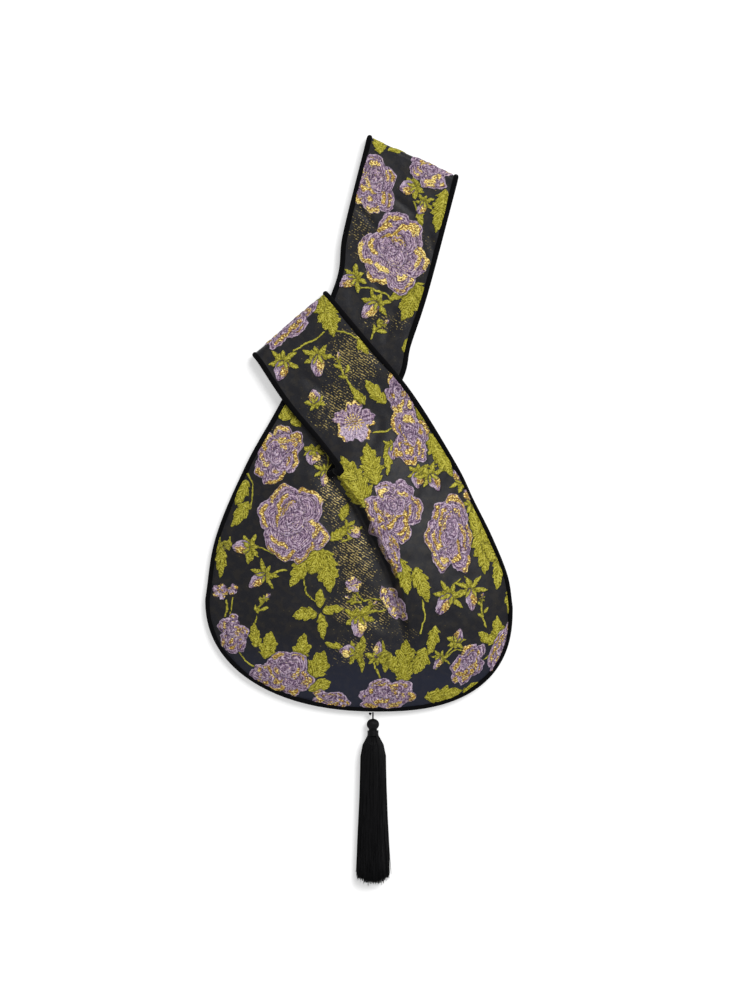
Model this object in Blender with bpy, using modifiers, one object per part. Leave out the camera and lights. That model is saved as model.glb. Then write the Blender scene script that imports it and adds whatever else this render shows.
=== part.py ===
"""Knot bag of floral brocade with velvet piping and a silk tassel, closed by its handles and lying down.

The bag has a front and a back of one cut: a pear-shaped body with a long arm on the left and a short arm
on the right. Each pair of arms meets at a soft bend and makes a handle loop. The long handle passes through
the short one. Metres, +Z up. The back lies on Z = 0, +Y runs towards the end of the long handle, and +X is
the short arm's side.
"""

import math

import bmesh
import bpy
from mathutils import Matrix, Vector

# Cloth and piping
BROCADE_THICKNESS = 0.0011
LINING_THICKNESS = 0.0005
LAYER_GAP = 0.0003
PIPING_DIAMETER = 0.0036

# Pear-shaped body, over the piping
BODY_WIDTH = 0.262
BODY_BOTTOM_Y = -0.1713
BODY_BOTTOM_X = 0.016
WIDEST_LEFT_Y = -0.076
WIDEST_RIGHT_Y = -0.0825
BOWL_ROUNDNESS_LEFT = 2.2
BOWL_ROUNDNESS_RIGHT = 2.5
# The sides above the widest level, as (share of the half width, height along Y)
LEFT_SIDE = ((0.93, -0.023), (0.73, 0.0385), (0.475, 0.0985))
RIGHT_SIDE = ((0.967, -0.056), (0.865, -0.023), (0.745, 0.008), (0.63, 0.0385), (0.335, 0.0995))
WAIST_Y = 0.034

# Handles: each runs from its root, where they cross, to its bend
HANDLE_WIDTH = 0.084
LONG_WAIST_WIDTH = 0.077
# Where the neckline edges run, as (distance along the handle, how far inside its width)
LONG_NECK_BENDS = ((0.014, 0.0085), (0.052, 0.0066), (0.100, 0.0032))
SHORT_NECK_BENDS = ((-0.012, -0.0030), (0.030, -0.0030))
LONG_ROOT = Vector((-0.0041, 0.0999))
LONG_LEAN = math.radians(14)
LONG_REACH = 0.2080
LONG_BEND_SKEW = 0.0073
SHORT_ROOT = Vector((-0.0072, 0.0973))
SHORT_LEAN = math.radians(-40)
SHORT_REACH = 0.0808
SHORT_BEND_SKEW = -0.0006
BEND_FLAP = 0.012

# The fold down the front: its crest from the bottom of the neckline, and where it dies out
CROTCH = Vector((-0.0190, 0.028))
CROTCH_WIDTH = 0.0069
CROTCH_DIP = 0.0035
NECK_UPRIGHT = 0.009
NECK_FLARE = 0.0008
NECK_TURN = 0.35
# How far the piping keeps from the neckline's bottom and from its two corners, in edge insets
NECK_STANDOFF = 1.6
NECK_END_CLEARANCE = 1.15
CREST_PATH = ((0.0035, 0.003), (0.0185, -0.025), (0.0340, -0.057), (0.0430, -0.090), (0.0500, -0.121))
CREST_FOOT_SHIFT = 0.006
FOLD_FOOT = 0.012
FOLD_OPENING = 1.6
FOLD_FADE = (0.45, 0.92)

# Heights of the body's faces
SEAM_HEIGHT = 0.0070
EDGE_LIFT = 0.00125
FRONT_RISE = 0.0145
FRONT_SHOULDER = 0.075
BACK_SHOULDER = 0.030
CREST_RISE = 0.0095
CREST_SPREAD = 0.048
CREST_SHOULDER = 0.020
VALLEY_DEPTH = 0.0060
VALLEY_SPREAD = 0.016
BACK_FOLD_DEPTH = 0.0085
BACK_FOLD_SPREAD = 0.040
NECK_LIFT_SPREAD = 0.020

# Where the arms come from the body's heights to the handles' levels. Shares are of an arm's length.
LONG_CLIMB_Y = 0.026
LONG_CLIMB_LENGTH = 0.036
LONG_CLIMB_SHARE = 0.04
SHORT_FRONT_CLIMB_SHARE = 0.45
SHORT_BACK_CLIMB_SHARE = 0.15

# Tassel
TASSEL_X = 0.0119
HANGER_DIAMETER = 0.0013
HANGER_LENGTH = 0.0058
HANGER_SWING_GAP = 0.0006
KNOT_DIAMETER = 0.0028
HEAD_TIP_RADIUS = 0.0004
HEAD_DIAMETER = 0.0106
HEAD_LENGTH = 0.0100
BINDING_DIAMETER = 0.0098
BINDING_LENGTH = 0.0046
BINDING_THICKNESS = 0.0011
SKIRT_LENGTH = 0.1231
SKIRT_SHOULDER = 0.13
SKIRT_SHOULDER_WIDTH = 0.0215
SKIRT_END_WIDTH = 0.0285
SKIRT_THICKNESS = 0.0126
SKIRT_FLUTES = 9
SKIRT_FLUTE_DEPTH = 0.045
SKIRT_FLUTE_START = 0.3
RAGGED_DEPTH = 0.0045
# Two waves round the skirt's end, in turns, that make it ragged
RAGGED_WAVES = (5, 3)

# Facets
LINE_POINTS = 220
# The strips' lower corners, as shares of the half width
LOWER_CORNERS = (-0.80, 0.86)
EDGE_CROWDING = 0.055
LEFT_COLUMNS = 8
FOLD_COLUMNS = 4
RIGHT_COLUMNS = 9
BODY_ROWS = 13
LONG_ROWS = 16
SHORT_ROWS = 10
BEND_ROWS = 5
FLAP_ROWS = 1
PIPING_SIDES = 8
SEAM_POINTS = 56
SKIRT_ROWS = 9
SKIRT_COLUMNS = 36

WALL = BROCADE_THICKNESS + LAYER_GAP + LINING_THICKNESS
PIPING_RADIUS = PIPING_DIAMETER / 2
EDGE_INSET = PIPING_RADIUS + LAYER_GAP
PIPING_PROUD = PIPING_RADIUS - WALL / 2
FLOOR_CLEARANCE = 0.0001
HALF_WIDTH = BODY_WIDTH / 2 - PIPING_RADIUS
BOTTOM_Y = BODY_BOTTOM_Y + PIPING_RADIUS
HEAD_TOP_Y = BODY_BOTTOM_Y - HANGER_LENGTH

# The hanger lifts about the centre of its own turn. The tassel swings in the gap between the cord and its head.
HANGER_TOP_Y = BODY_BOTTOM_Y - LAYER_GAP
HANGER_SPREAD = (HANGER_DIAMETER + LAYER_GAP) / 2
LIFT_PIVOT = Vector((TASSEL_X, HANGER_TOP_Y - HANGER_DIAMETER / 2 - HANGER_SPREAD, SEAM_HEIGHT))
SWING_PIVOT = Vector((TASSEL_X, HEAD_TOP_Y + HANGER_SWING_GAP / 2, SEAM_HEIGHT))

# Handle levels, from the floor up: short back, long back, long front, short front.
# Pipings cross clear of each other.
PIPING_STEP = PIPING_DIAMETER + LAYER_GAP
SHORT_BACK_LEVEL = PIPING_PROUD + FLOOR_CLEARANCE
LONG_BACK_LEVEL = SHORT_BACK_LEVEL + PIPING_STEP
LONG_FRONT_LEVEL = LONG_BACK_LEVEL + PIPING_STEP + WALL
SHORT_FRONT_LEVEL = LONG_FRONT_LEVEL + PIPING_STEP
LONG_TIP_BACK_LEVEL = SHORT_BACK_LEVEL
LONG_TIP_THICKNESS = 0.0110
LONG_SETTLE = (0.095, 0.155)


def clamp(value):
    return max(0.0, min(1.0, value))


def ease(value):
    """0 to 1 with a flat start and end."""
    t = clamp(value)
    return t * t * (3 - 2 * t)


def mix(a, b, t):
    return a + (b - a) * t


def spline_through(points, steps=24):
    """A smooth plan line through the points."""
    ends = [points[0] * 2 - points[1], *points, points[-1] * 2 - points[-2]]
    line = []
    for p0, p1, p2, p3 in zip(ends, ends[1:], ends[2:], ends[3:]):
        for k in range(steps):
            t = k / steps
            line.append(
                0.5
                * (
                    2 * p1
                    + (p2 - p0) * t
                    + (2 * p0 - 5 * p1 + 4 * p2 - p3) * t**2
                    + (3 * p1 - p0 - 3 * p2 + p3) * t**3
                )
            )
    return [*line, points[-1]]


def lengths_along(line):
    total = [0.0]
    for a, b in zip(line, line[1:]):
        total.append(total[-1] + (b - a).length)
    return total


def spaced(line, start=0.0, end=1.0, count=LINE_POINTS):
    """The stretch of a line between two shares of its length, with evenly spaced points."""
    along = lengths_along(line)
    made, k = [], 0
    for i in range(count):
        goal = mix(start, end, i / (count - 1)) * along[-1]
        while k < len(line) - 2 and along[k + 1] < goal:
            k += 1
        made.append(line[k].lerp(line[k + 1], (goal - along[k]) / (along[k + 1] - along[k])))
    return made


def at(line, t):
    """The point at share t of an evenly spaced line."""
    place = clamp(t) * (len(line) - 1)
    k = min(int(place), len(line) - 2)
    return line[k].lerp(line[k + 1], place - k)


def cut_line(line, start, end):
    """The stretch of a line between two shares, which may run backwards, with evenly spaced points."""
    return spaced([at(line, mix(start, end, k / LINE_POINTS)) for k in range(LINE_POINTS + 1)])


def share_at_height(line, y, from_end=False):
    """The share of the line's length at which it first passes height y."""
    count = len(line)
    order = range(count - 1, -1, -1) if from_end else range(count)
    for i in order:
        if line[i].y < y:
            return i / (count - 1)
    raise ValueError("the line never goes below this height")


def inset(line, amount):
    """The line moved to its right-hand side by amount."""
    moved = []
    for i, point in enumerate(line):
        along = line[min(i + 1, len(line) - 1)] - line[max(i - 1, 0)]
        moved.append(point + Vector((along.y, -along.x)).normalized() * amount)
    return moved


def distance_to(line, point):
    """(distance to the line, share of its length at the nearest point)."""
    best, share = 1e9, 0.0
    for i, (a, b) in enumerate(zip(line, line[1:])):
        along = b - a
        t = clamp((point - a).dot(along) / along.length_squared)
        away = (point - a - along * t).length
        if away < best:
            best, share = away, (i + t) / (len(line) - 1)
    return best, share


class Handle:
    """Plan geometry of one handle: an axis from its root, and its two corners at the bend."""

    def __init__(self, root, lean, reach, skew, bend_radius):
        self.root = root
        self.axis = Vector((math.sin(lean), math.cos(lean)))
        self.across = Vector((math.cos(lean), -math.sin(lean)))
        self.reach = reach - bend_radius
        self.skew = skew
        self.bend_radius = bend_radius

    def edge(self, side, along, width=HANDLE_WIDTH):
        """A point on the piping's centre line: side is -1 for left and 1 for right."""
        return self.root + self.axis * along + self.across * side * (width / 2 - PIPING_RADIUS)

    def corner(self, side):
        return self.edge(side, self.reach - side * self.skew)

    def along(self, point):
        return (point - self.root).dot(self.axis)


LONG = Handle(LONG_ROOT, LONG_LEAN, LONG_REACH, LONG_BEND_SKEW, LONG_TIP_THICKNESS / 2)
SHORT = Handle(
    SHORT_ROOT, SHORT_LEAN, SHORT_REACH, SHORT_BEND_SKEW, (SHORT_FRONT_LEVEL - SHORT_BACK_LEVEL) / 2
)


def bowl(side, widest_y, roundness):
    """The rounded bottom on one side, from the widest level down to the lowest point."""
    reach = HALF_WIDTH - side * BODY_BOTTOM_X
    depth = widest_y - BOTTOM_Y
    points = []
    for k in range(25):
        angle = math.pi / 2 * k / 24
        out = max(math.cos(angle), 0.0) ** (2 / roundness)
        down = math.sin(angle) ** (2 / roundness)
        points.append(Vector((BODY_BOTTOM_X + side * reach * out, widest_y - depth * down)))
    return points


def outer_line():
    """The whole outer edge: long handle's bend, left side, bowl, right side, short handle's bend."""
    left_top = [
        LONG.corner(-1),
        LONG.edge(-1, LONG_REACH * 0.62),
        LONG.edge(-1, LONG_REACH * 0.40, LONG_WAIST_WIDTH),
        *[Vector((-share * HALF_WIDTH, y)) for share, y in reversed(LEFT_SIDE)],
        Vector((-HALF_WIDTH, WIDEST_LEFT_Y)),
    ]
    right_top = [
        Vector((HALF_WIDTH, WIDEST_RIGHT_Y)),
        *[Vector((share * HALF_WIDTH, y)) for share, y in RIGHT_SIDE],
        SHORT.edge(1, SHORT_REACH * 0.35),
        SHORT.corner(1),
    ]
    left_bowl = bowl(-1, WIDEST_LEFT_Y, BOWL_ROUNDNESS_LEFT)
    right_bowl = bowl(1, WIDEST_RIGHT_Y, BOWL_ROUNDNESS_RIGHT)
    line = [*spline_through(left_top), *left_bowl[1:], *right_bowl[-2::-1], *spline_through(right_top)[1:]]
    return spaced(line, count=3 * LINE_POINTS)


OUTER = outer_line()
OUTER_IN = inset(OUTER, -EDGE_INSET)
LEFT_WAIST = share_at_height(OUTER, WAIST_Y)
RIGHT_WAIST = share_at_height(OUTER, WAIST_Y, from_end=True)

# The two corners of the neckline's bottom, and the two lines that bound the steep side of the fold
LONG_CORNER = CROTCH - Vector((CROTCH_WIDTH / 2, 0))
SHORT_CORNER = CROTCH + Vector((CROTCH_WIDTH / 2, 0))


def foot_share(x):
    """The share of the outer line at which its bottom passes x."""
    low = [i for i, p in enumerate(OUTER_IN) if p.y < WIDEST_RIGHT_Y]
    return min(low, key=lambda i: abs(OUTER_IN[i].x - x)) / (len(OUTER_IN) - 1)


FOOT_X = CREST_PATH[-1][0] + CREST_FOOT_SHIFT
VALLEY_FOOT = foot_share(FOOT_X - FOLD_FOOT)
CREST_FOOT = foot_share(FOOT_X)
LOWER_LEFT, LOWER_RIGHT = [foot_share(share * HALF_WIDTH) for share in LOWER_CORNERS]


def fold_width(share):
    """Plan width of the fold's steep side, from the neckline to the foot."""
    return mix(CROTCH_WIDTH, FOLD_FOOT, share**FOLD_OPENING)


def crest_line():
    points = [SHORT_CORNER, *[Vector(p) for p in CREST_PATH], at(OUTER_IN, CREST_FOOT)]
    return spaced(spline_through(points))


def valley_line():
    crest = crest_line()
    last = len(crest) - 1
    points = [p - Vector((fold_width(i / last), 0)) for i, p in enumerate(crest)]
    points[0], points[-1] = LONG_CORNER, at(OUTER_IN, VALLEY_FOOT)
    return spaced(points)


CREST = crest_line()
VALLEY = valley_line()


def neck_line(handle, side, corner, bends):
    """The neckline edge of one arm, from the bottom of the neckline to the bend, inset from the piping."""
    reach = HANDLE_WIDTH / 2 - EDGE_INSET
    top = handle.corner(side) - handle.across * side * EDGE_INSET
    middle = [
        handle.root + handle.axis * along + handle.across * side * (reach - narrowing)
        for along, narrowing in bends
    ]
    upright = corner + Vector((side * NECK_FLARE, NECK_UPRIGHT))
    return spaced(spline_through([corner, upright, *middle, top]))


LONG_NECK = neck_line(LONG, 1, LONG_CORNER, LONG_NECK_BENDS)
SHORT_NECK = neck_line(SHORT, -1, SHORT_CORNER, SHORT_NECK_BENDS)
LONG_OUTER = cut_line(OUTER_IN, LEFT_WAIST, 0)
SHORT_OUTER = cut_line(OUTER_IN, RIGHT_WAIST, 1)


def pillow(point, shoulder):
    """0 at the outer edge, rising to 1 at the shoulder's distance from it."""
    away, _ = distance_to(OUTER[::6], point)
    return math.sin(math.pi / 2 * clamp((away - EDGE_INSET) / shoulder)) ** 0.8


def fold_strength(line, point):
    """(distance to the fold line, 1 near the neckline falling to 0 at the foot)."""
    away, share = distance_to(line[::5], point)
    return away, 1 - ease((share - FOLD_FADE[0]) / (FOLD_FADE[1] - FOLD_FADE[0]))


def front_low(point):
    """Height of the front on the long arm's side of the fold."""
    away, strength = fold_strength(VALLEY, point)
    dent = VALLEY_DEPTH * strength * math.exp(-away / VALLEY_SPREAD)
    rise = pillow(point, FRONT_SHOULDER)
    return SEAM_HEIGHT + EDGE_LIFT + FRONT_RISE * rise - dent * rise


def front_high(point):
    """Height of the front on the short arm's side of the fold."""
    away, strength = fold_strength(CREST, point)
    crown = CREST_RISE * strength * math.exp(-((away / CREST_SPREAD) ** 1.5))
    rise = pillow(point, FRONT_SHOULDER)
    return SEAM_HEIGHT + EDGE_LIFT + FRONT_RISE * rise + crown * pillow(point, CREST_SHOULDER)


def back_low(point):
    away, strength = fold_strength(VALLEY, point)
    lift = BACK_FOLD_DEPTH * strength * math.exp(-away / BACK_FOLD_SPREAD)
    edge = (SEAM_HEIGHT - EDGE_LIFT) * (1 - pillow(point, BACK_SHOULDER))
    return edge + lift * pillow(point, CREST_SHOULDER)


def back_high(point):
    """The back on the short arm's side: flat on the floor, but for the piping round the neckline's bottom."""
    lift = SHORT_BACK_LEVEL * math.exp(-(((point - SHORT_CORNER).length / NECK_LIFT_SPREAD) ** 2))
    return (SEAM_HEIGHT - EDGE_LIFT) * (1 - pillow(point, BACK_SHOULDER)) + lift


def long_levels(point):
    """(front, back) levels of the long handle: pressed flat under the short one, then opening to the bend."""
    settle = ease((LONG.along(point) - LONG_SETTLE[0]) / (LONG_SETTLE[1] - LONG_SETTLE[0]))
    tip_front = LONG_TIP_BACK_LEVEL + LONG_TIP_THICKNESS
    return mix(LONG_FRONT_LEVEL, tip_front, settle), mix(LONG_BACK_LEVEL, LONG_TIP_BACK_LEVEL, settle)


def long_blend(point, share):
    """How far the cloth of the long arm has come from the body's height to the handle's."""
    return ease((point.y - LONG_CLIMB_Y) / LONG_CLIMB_LENGTH) * ease(share / LONG_CLIMB_SHARE)


def coons(left, right, bottom, top):
    """A four-sided patch between boundary lines, each a function of a share, as a function of (u, v)."""
    corners = bottom(0), bottom(1), top(0), top(1)

    def place(u, v):
        ruled = mix(left(v), right(v), u) + mix(bottom(u), top(u), v)
        square = mix(mix(corners[0], corners[1], u), mix(corners[2], corners[3], u), v)
        return ruled - square

    return place


def stretch(line, start, end):
    """A stretch of a line as a function of a share from 0 to 1."""
    return lambda t: at(line, mix(start, end, t))


def edge_bias(t):
    """Crowds the first and last cells of a strip towards its edges."""
    return t - EDGE_CROWDING * math.sin(2 * math.pi * t)


def crotch_edge(b):
    """The bottom of the neckline in plan, from the long arm's corner to the short arm's."""
    return LONG_CORNER.lerp(SHORT_CORNER, b) + Vector((0, -CROTCH_DIP * math.sin(math.pi * b)))


def body_strips(low, high):
    """The body's three strips, left to right: each is (columns, place) with place(u, v), v = 1 at the waist."""
    left_plan = coons(
        stretch(OUTER_IN, LOWER_LEFT, LEFT_WAIST),
        stretch(VALLEY, 1, 0),
        stretch(OUTER_IN, LOWER_LEFT, VALLEY_FOOT),
        lambda u: at(LONG_OUTER, 0).lerp(LONG_CORNER, u),
    )
    fold_plan = coons(
        stretch(VALLEY, 1, 0),
        stretch(CREST, 1, 0),
        stretch(OUTER_IN, VALLEY_FOOT, CREST_FOOT),
        crotch_edge,
    )
    right_plan = coons(
        stretch(CREST, 1, 0),
        stretch(OUTER_IN, LOWER_RIGHT, RIGHT_WAIST),
        stretch(OUTER_IN, CREST_FOOT, LOWER_RIGHT),
        lambda u: SHORT_CORNER.lerp(at(SHORT_OUTER, 0), u),
    )

    def left(u, v):
        p = left_plan(edge_bias(u), edge_bias(v))
        return Vector((p.x, p.y, low(p)))

    def fold(u, v):
        p = fold_plan(u, edge_bias(v))
        return Vector((p.x, p.y, mix(low(p), high(p), ease(u))))

    def right(u, v):
        p = right_plan(edge_bias(u), edge_bias(v))
        return Vector((p.x, p.y, high(p)))

    return (LEFT_COLUMNS, left), (FOLD_COLUMNS, fold), (RIGHT_COLUMNS, right)


def arm_plan(left_edge, right_edge, u, share):
    return at(left_edge, share).lerp(at(right_edge, share), edge_bias(u))


def flap_share(left_edge, right_edge, amount):
    """A distance along an arm as a share of its shorter edge."""
    return amount / min(lengths_along(left_edge)[-1], lengths_along(right_edge)[-1])


def front_arm(handle, left_edge, right_edge, rows, height, bend_centre):
    """place(u, v) of a front arm: flat rows, then the bend, then a short flap on the back."""
    total = rows + BEND_ROWS + FLAP_ROWS
    flap = flap_share(left_edge, right_edge, BEND_FLAP)

    def place(u, v):
        row = v * total
        flap_row = max(row - rows - BEND_ROWS, 0) / FLAP_ROWS
        share = min(row / rows, 1.0) - flap * flap_row
        p = arm_plan(left_edge, right_edge, u, share)
        if row <= rows:
            return Vector((p.x, p.y, height(p, share)))
        turn = min((row - rows) / BEND_ROWS, 1.0) * math.pi
        p = p + handle.axis * handle.bend_radius * math.sin(turn)
        return Vector((p.x, p.y, bend_centre + handle.bend_radius * math.cos(turn)))

    return total, place


def back_arm(left_edge, right_edge, rows, height):
    """place(u, v) of a back arm, which stops where the front's flap begins."""
    end = 1 - flap_share(left_edge, right_edge, BEND_FLAP + 2 * LAYER_GAP)

    def place(u, v):
        share = v * end
        p = arm_plan(left_edge, right_edge, u, share)
        return Vector((p.x, p.y, height(p, share)))

    return rows, place


def long_front_height(p, share):
    return mix(front_low(p), long_levels(p)[0], long_blend(p, share))


def long_back_height(p, share):
    return mix(back_low(p), long_levels(p)[1], long_blend(p, share))


def short_front_height(p, share):
    return mix(front_high(p), SHORT_FRONT_LEVEL, ease(share / SHORT_FRONT_CLIMB_SHARE))


def short_back_height(p, share):
    return mix(back_high(p), SHORT_BACK_LEVEL, ease(share / SHORT_BACK_CLIMB_SHARE))


LONG_BEND_CENTRE = LONG_TIP_BACK_LEVEL + LONG.bend_radius
SHORT_BEND_CENTRE = SHORT_BACK_LEVEL + SHORT.bend_radius
FRONT_LONG_ARM = front_arm(LONG, LONG_OUTER, LONG_NECK, LONG_ROWS, long_front_height, LONG_BEND_CENTRE)
FRONT_SHORT_ARM = front_arm(SHORT, SHORT_NECK, SHORT_OUTER, SHORT_ROWS, short_front_height, SHORT_BEND_CENTRE)
BACK_LONG_ARM = back_arm(LONG_OUTER, LONG_NECK, LONG_ROWS, long_back_height)
BACK_SHORT_ARM = back_arm(SHORT_NECK, SHORT_OUTER, SHORT_ROWS, short_back_height)
FRONT_BODY = body_strips(front_low, front_high)
BACK_BODY = body_strips(back_low, back_high)


def add_strip(bm, columns, rows, place):
    """Adds a grid of cells and moves each corner to its place."""
    made = bmesh.ops.create_grid(bm, x_segments=columns, y_segments=rows, size=0.5)
    for vert in made["verts"]:
        vert.co = place(vert.co.x + 0.5, vert.co.y + 0.5)


def panel_mesh(body, long_arm, short_arm, faces_down):
    """One cut of cloth as an open sheet: the body's strips and its two arms, sewn into one surface."""
    bm = bmesh.new()
    for columns, place in body:
        add_strip(bm, columns, BODY_ROWS, place)
    add_strip(bm, LEFT_COLUMNS, *long_arm)
    add_strip(bm, RIGHT_COLUMNS, *short_arm)
    bmesh.ops.remove_doubles(bm, verts=bm.verts, dist=1e-5)
    if faces_down:
        bmesh.ops.reverse_faces(bm, faces=bm.faces)
    bm.normal_update()
    return bm


def material(name, colour, roughness, metallic=0.0):
    made = bpy.data.materials.new(name)
    made.use_nodes = True
    shader = made.node_tree.nodes["Principled BSDF"]
    shader.inputs["Base Color"].default_value = (*colour, 1)
    shader.inputs["Roughness"].default_value = roughness
    shader.inputs["Metallic"].default_value = metallic
    return made


def finish(obj, look):
    obj.data.materials.append(look)
    PARTS.objects.link(obj)
    return obj


def mesh_object(name, bm, look):
    mesh = bpy.data.meshes.new(name)
    bm.to_mesh(mesh)
    bm.free()
    return finish(bpy.data.objects.new(name, mesh), look)


def hang_on(obj, pivot):
    """Moves an object's origin to its joint's axis and leaves its shape where it is."""
    obj.data.transform(Matrix.Translation(-pivot))
    obj.location = pivot


def thicken(obj, thickness):
    """Gives a sheet its thickness on its inner side."""
    wall = obj.modifiers.new("thickness", "SOLIDIFY")
    wall.thickness = thickness
    wall.offset = -1
    obj.data.shade_smooth()


def brocade_panel(name, sheet):
    thicken(mesh_object(name, sheet, BROCADE), BROCADE_THICKNESS)


def lining_panel(name, sheet):
    """The lining lies inside the brocade and stops one cell short of its edges."""
    for vert in sheet.verts:
        vert.co -= vert.normal * (BROCADE_THICKNESS + LAYER_GAP)
    rim = [vert for vert in sheet.verts if vert.is_boundary]
    bmesh.ops.delete(sheet, geom=rim, context="VERTS")
    thicken(mesh_object(name, sheet, SATIN), LINING_THICKNESS)


def side_track(strip, edge, inward_side):
    """Piping centres up one side of an arm, beside each row of its facets. edge is the side's u, 0 or 1."""
    rows, place = strip
    inner = abs(edge - 1 / LEFT_COLUMNS)
    rim = [place(edge, k / rows) for k in range(rows + 1)]
    track = []
    for k, point in enumerate(rim):
        after = (rim[min(k + 1, rows)] - rim[min(k, rows - 1)]).normalized()
        before = (rim[max(k, 1)] - rim[max(k - 1, 0)]).normalized()
        along = (before + after).normalized()
        out = point - place(inner, k / rows)
        out.z = 0
        out = (out - along * out.dot(along)).normalized()
        turning = (before.xy.normalized() + after.xy.normalized()).length
        mitre = 2 / turning if before.xy.dot(after.xy) > 0 else 1
        normal = out.cross(along) * (1 if edge else -1)
        track.append(point - normal * inward_side * WALL / 2 + out * EDGE_INSET * mitre)
    return track


def crotch_track(strip, inward_side):
    """Piping centres round the bottom of the neckline, from the long arm to the short arm."""
    place = strip[1]
    clear = NECK_END_CLEARANCE * EDGE_INSET / CROTCH_WIDTH
    offset = Vector((0, NECK_STANDOFF * EDGE_INSET, -inward_side * WALL / 2))
    return [place(share, 1) + offset for share in (clear, 0.5, 1 - clear)]


def neck_track(strip, edge, inward_side):
    """A side track that leaves the turn round the neckline's bottom free."""
    track = side_track(strip, edge, inward_side)
    return [track[0].lerp(track[1], NECK_TURN), *track[1:]]


def pipe(name, track, closed, radius=PIPING_RADIUS, look=None):
    """A cord: a round tube along the track, closed into a ring or with filled ends."""
    curve = bpy.data.curves.new(name, "CURVE")
    curve.dimensions = "3D"
    curve.bevel_depth = radius
    curve.bevel_resolution = PIPING_SIDES // 2 - 2
    curve.use_fill_caps = True
    spline = curve.splines.new("POLY")
    spline.points.add(len(track) - 1)
    for point, place in zip(spline.points, track):
        point.co = (*place, 1)
    spline.use_cyclic_u = closed
    return finish(bpy.data.objects.new(name, curve), look or VELVET)


def neck_piping():
    """One ring round the mouth: up and back along the inner edge of each handle."""
    track = [
        *crotch_track(FRONT_BODY[1], 1),
        *neck_track(FRONT_SHORT_ARM, 0, 1),
        *reversed(neck_track(BACK_SHORT_ARM, 0, -1)),
        *reversed(crotch_track(BACK_BODY[1], -1)),
        *neck_track(BACK_LONG_ARM, 1, -1),
        *reversed(neck_track(FRONT_LONG_ARM, 1, 1)),
    ]
    pipe("neck_piping", track, closed=True)


def armhole_piping(name, front, back, edge):
    """Round one handle's outer edge: up the front, over the bend and down the back to where the edges meet."""
    up = side_track(front, edge, 1)
    down = side_track(back, edge, -1)
    clear = [point for point in down if min((point - q).length for q in up[: len(up) // 2]) > PIPING_STEP]
    pipe(name, [*up, *reversed(clear)], closed=False)


def seam_piping():
    """Round the body from one underarm to the other."""
    end_gap = 1.5 * LAYER_GAP / lengths_along(OUTER)[-1]
    line = spaced(OUTER, LEFT_WAIST + end_gap, RIGHT_WAIST - end_gap, SEAM_POINTS)
    pipe("seam_piping", [Vector((p.x, p.y, SEAM_HEIGHT)) for p in line], closed=False)


def tassel_profile(along):
    """(half width, half thickness) of the thread bundle at a distance from the head's top."""
    head, neck = HEAD_DIAMETER / 2, BINDING_DIAMETER / 2 - BINDING_THICKNESS - LAYER_GAP
    if along < HEAD_LENGTH:
        swell = math.sqrt(max(0.0, 1 - (2 * along / HEAD_LENGTH - 1) ** 2))
        radius = max(swell * head, neck if along > HEAD_LENGTH / 2 else HEAD_TIP_RADIUS)
        return radius, radius
    down = (along - HEAD_LENGTH - BINDING_LENGTH - LAYER_GAP) / SKIRT_LENGTH
    if down <= 0:
        return neck, neck
    shoulder = ease(down / SKIRT_SHOULDER)
    wide = mix(SKIRT_SHOULDER_WIDTH, SKIRT_END_WIDTH, clamp((down - SKIRT_SHOULDER) / (1 - SKIRT_SHOULDER)))
    return mix(neck, wide / 2, shoulder), mix(neck, SKIRT_THICKNESS / 2, shoulder)


def tassel_stations():
    head = [HEAD_LENGTH * (1 - math.cos(math.pi * k / 8)) / 2 for k in range(9)]
    neck_end = HEAD_LENGTH + BINDING_LENGTH + LAYER_GAP
    skirt = [neck_end + SKIRT_LENGTH * (k / SKIRT_ROWS) ** 1.6 for k in range(SKIRT_ROWS + 1)]
    return [*head, *skirt]


def tassel_threads():
    """The bundle of threads: bound into a round head, then a fluted skirt with a ragged end."""
    stations = tassel_stations()
    bm = bmesh.new()
    bmesh.ops.create_grid(bm, x_segments=SKIRT_COLUMNS, y_segments=len(stations) - 1, size=0.5)
    for vert in bm.verts:
        angle = 2 * math.pi * (vert.co.x + 0.5)
        row = round((vert.co.y + 0.5) * (len(stations) - 1))
        along = stations[row]
        wide, thick = tassel_profile(along)
        skirt = ease((along - HEAD_LENGTH - BINDING_LENGTH) / (SKIRT_FLUTE_START * SKIRT_LENGTH))
        flute = 1 + SKIRT_FLUTE_DEPTH * skirt * math.cos(SKIRT_FLUTES * angle)
        waves = math.sin(RAGGED_WAVES[0] * angle + 2) * math.cos(RAGGED_WAVES[1] * angle)
        ragged = RAGGED_DEPTH * skirt**4 * waves
        vert.co = Vector(
            (
                TASSEL_X + wide * flute * math.cos(angle),
                HEAD_TOP_Y - along - ragged,
                SEAM_HEIGHT + thick * flute * math.sin(angle),
            )
        )
    bmesh.ops.remove_doubles(bm, verts=bm.verts, dist=1e-6)
    rims = [edge for edge in bm.edges if edge.is_boundary]
    bmesh.ops.holes_fill(bm, edges=rims, sides=0)
    bmesh.ops.recalc_face_normals(bm, faces=bm.faces)
    threads = mesh_object("tassel_threads", bm, SILK)
    threads.data.shade_smooth()
    hang_on(threads, SWING_PIVOT)


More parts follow.
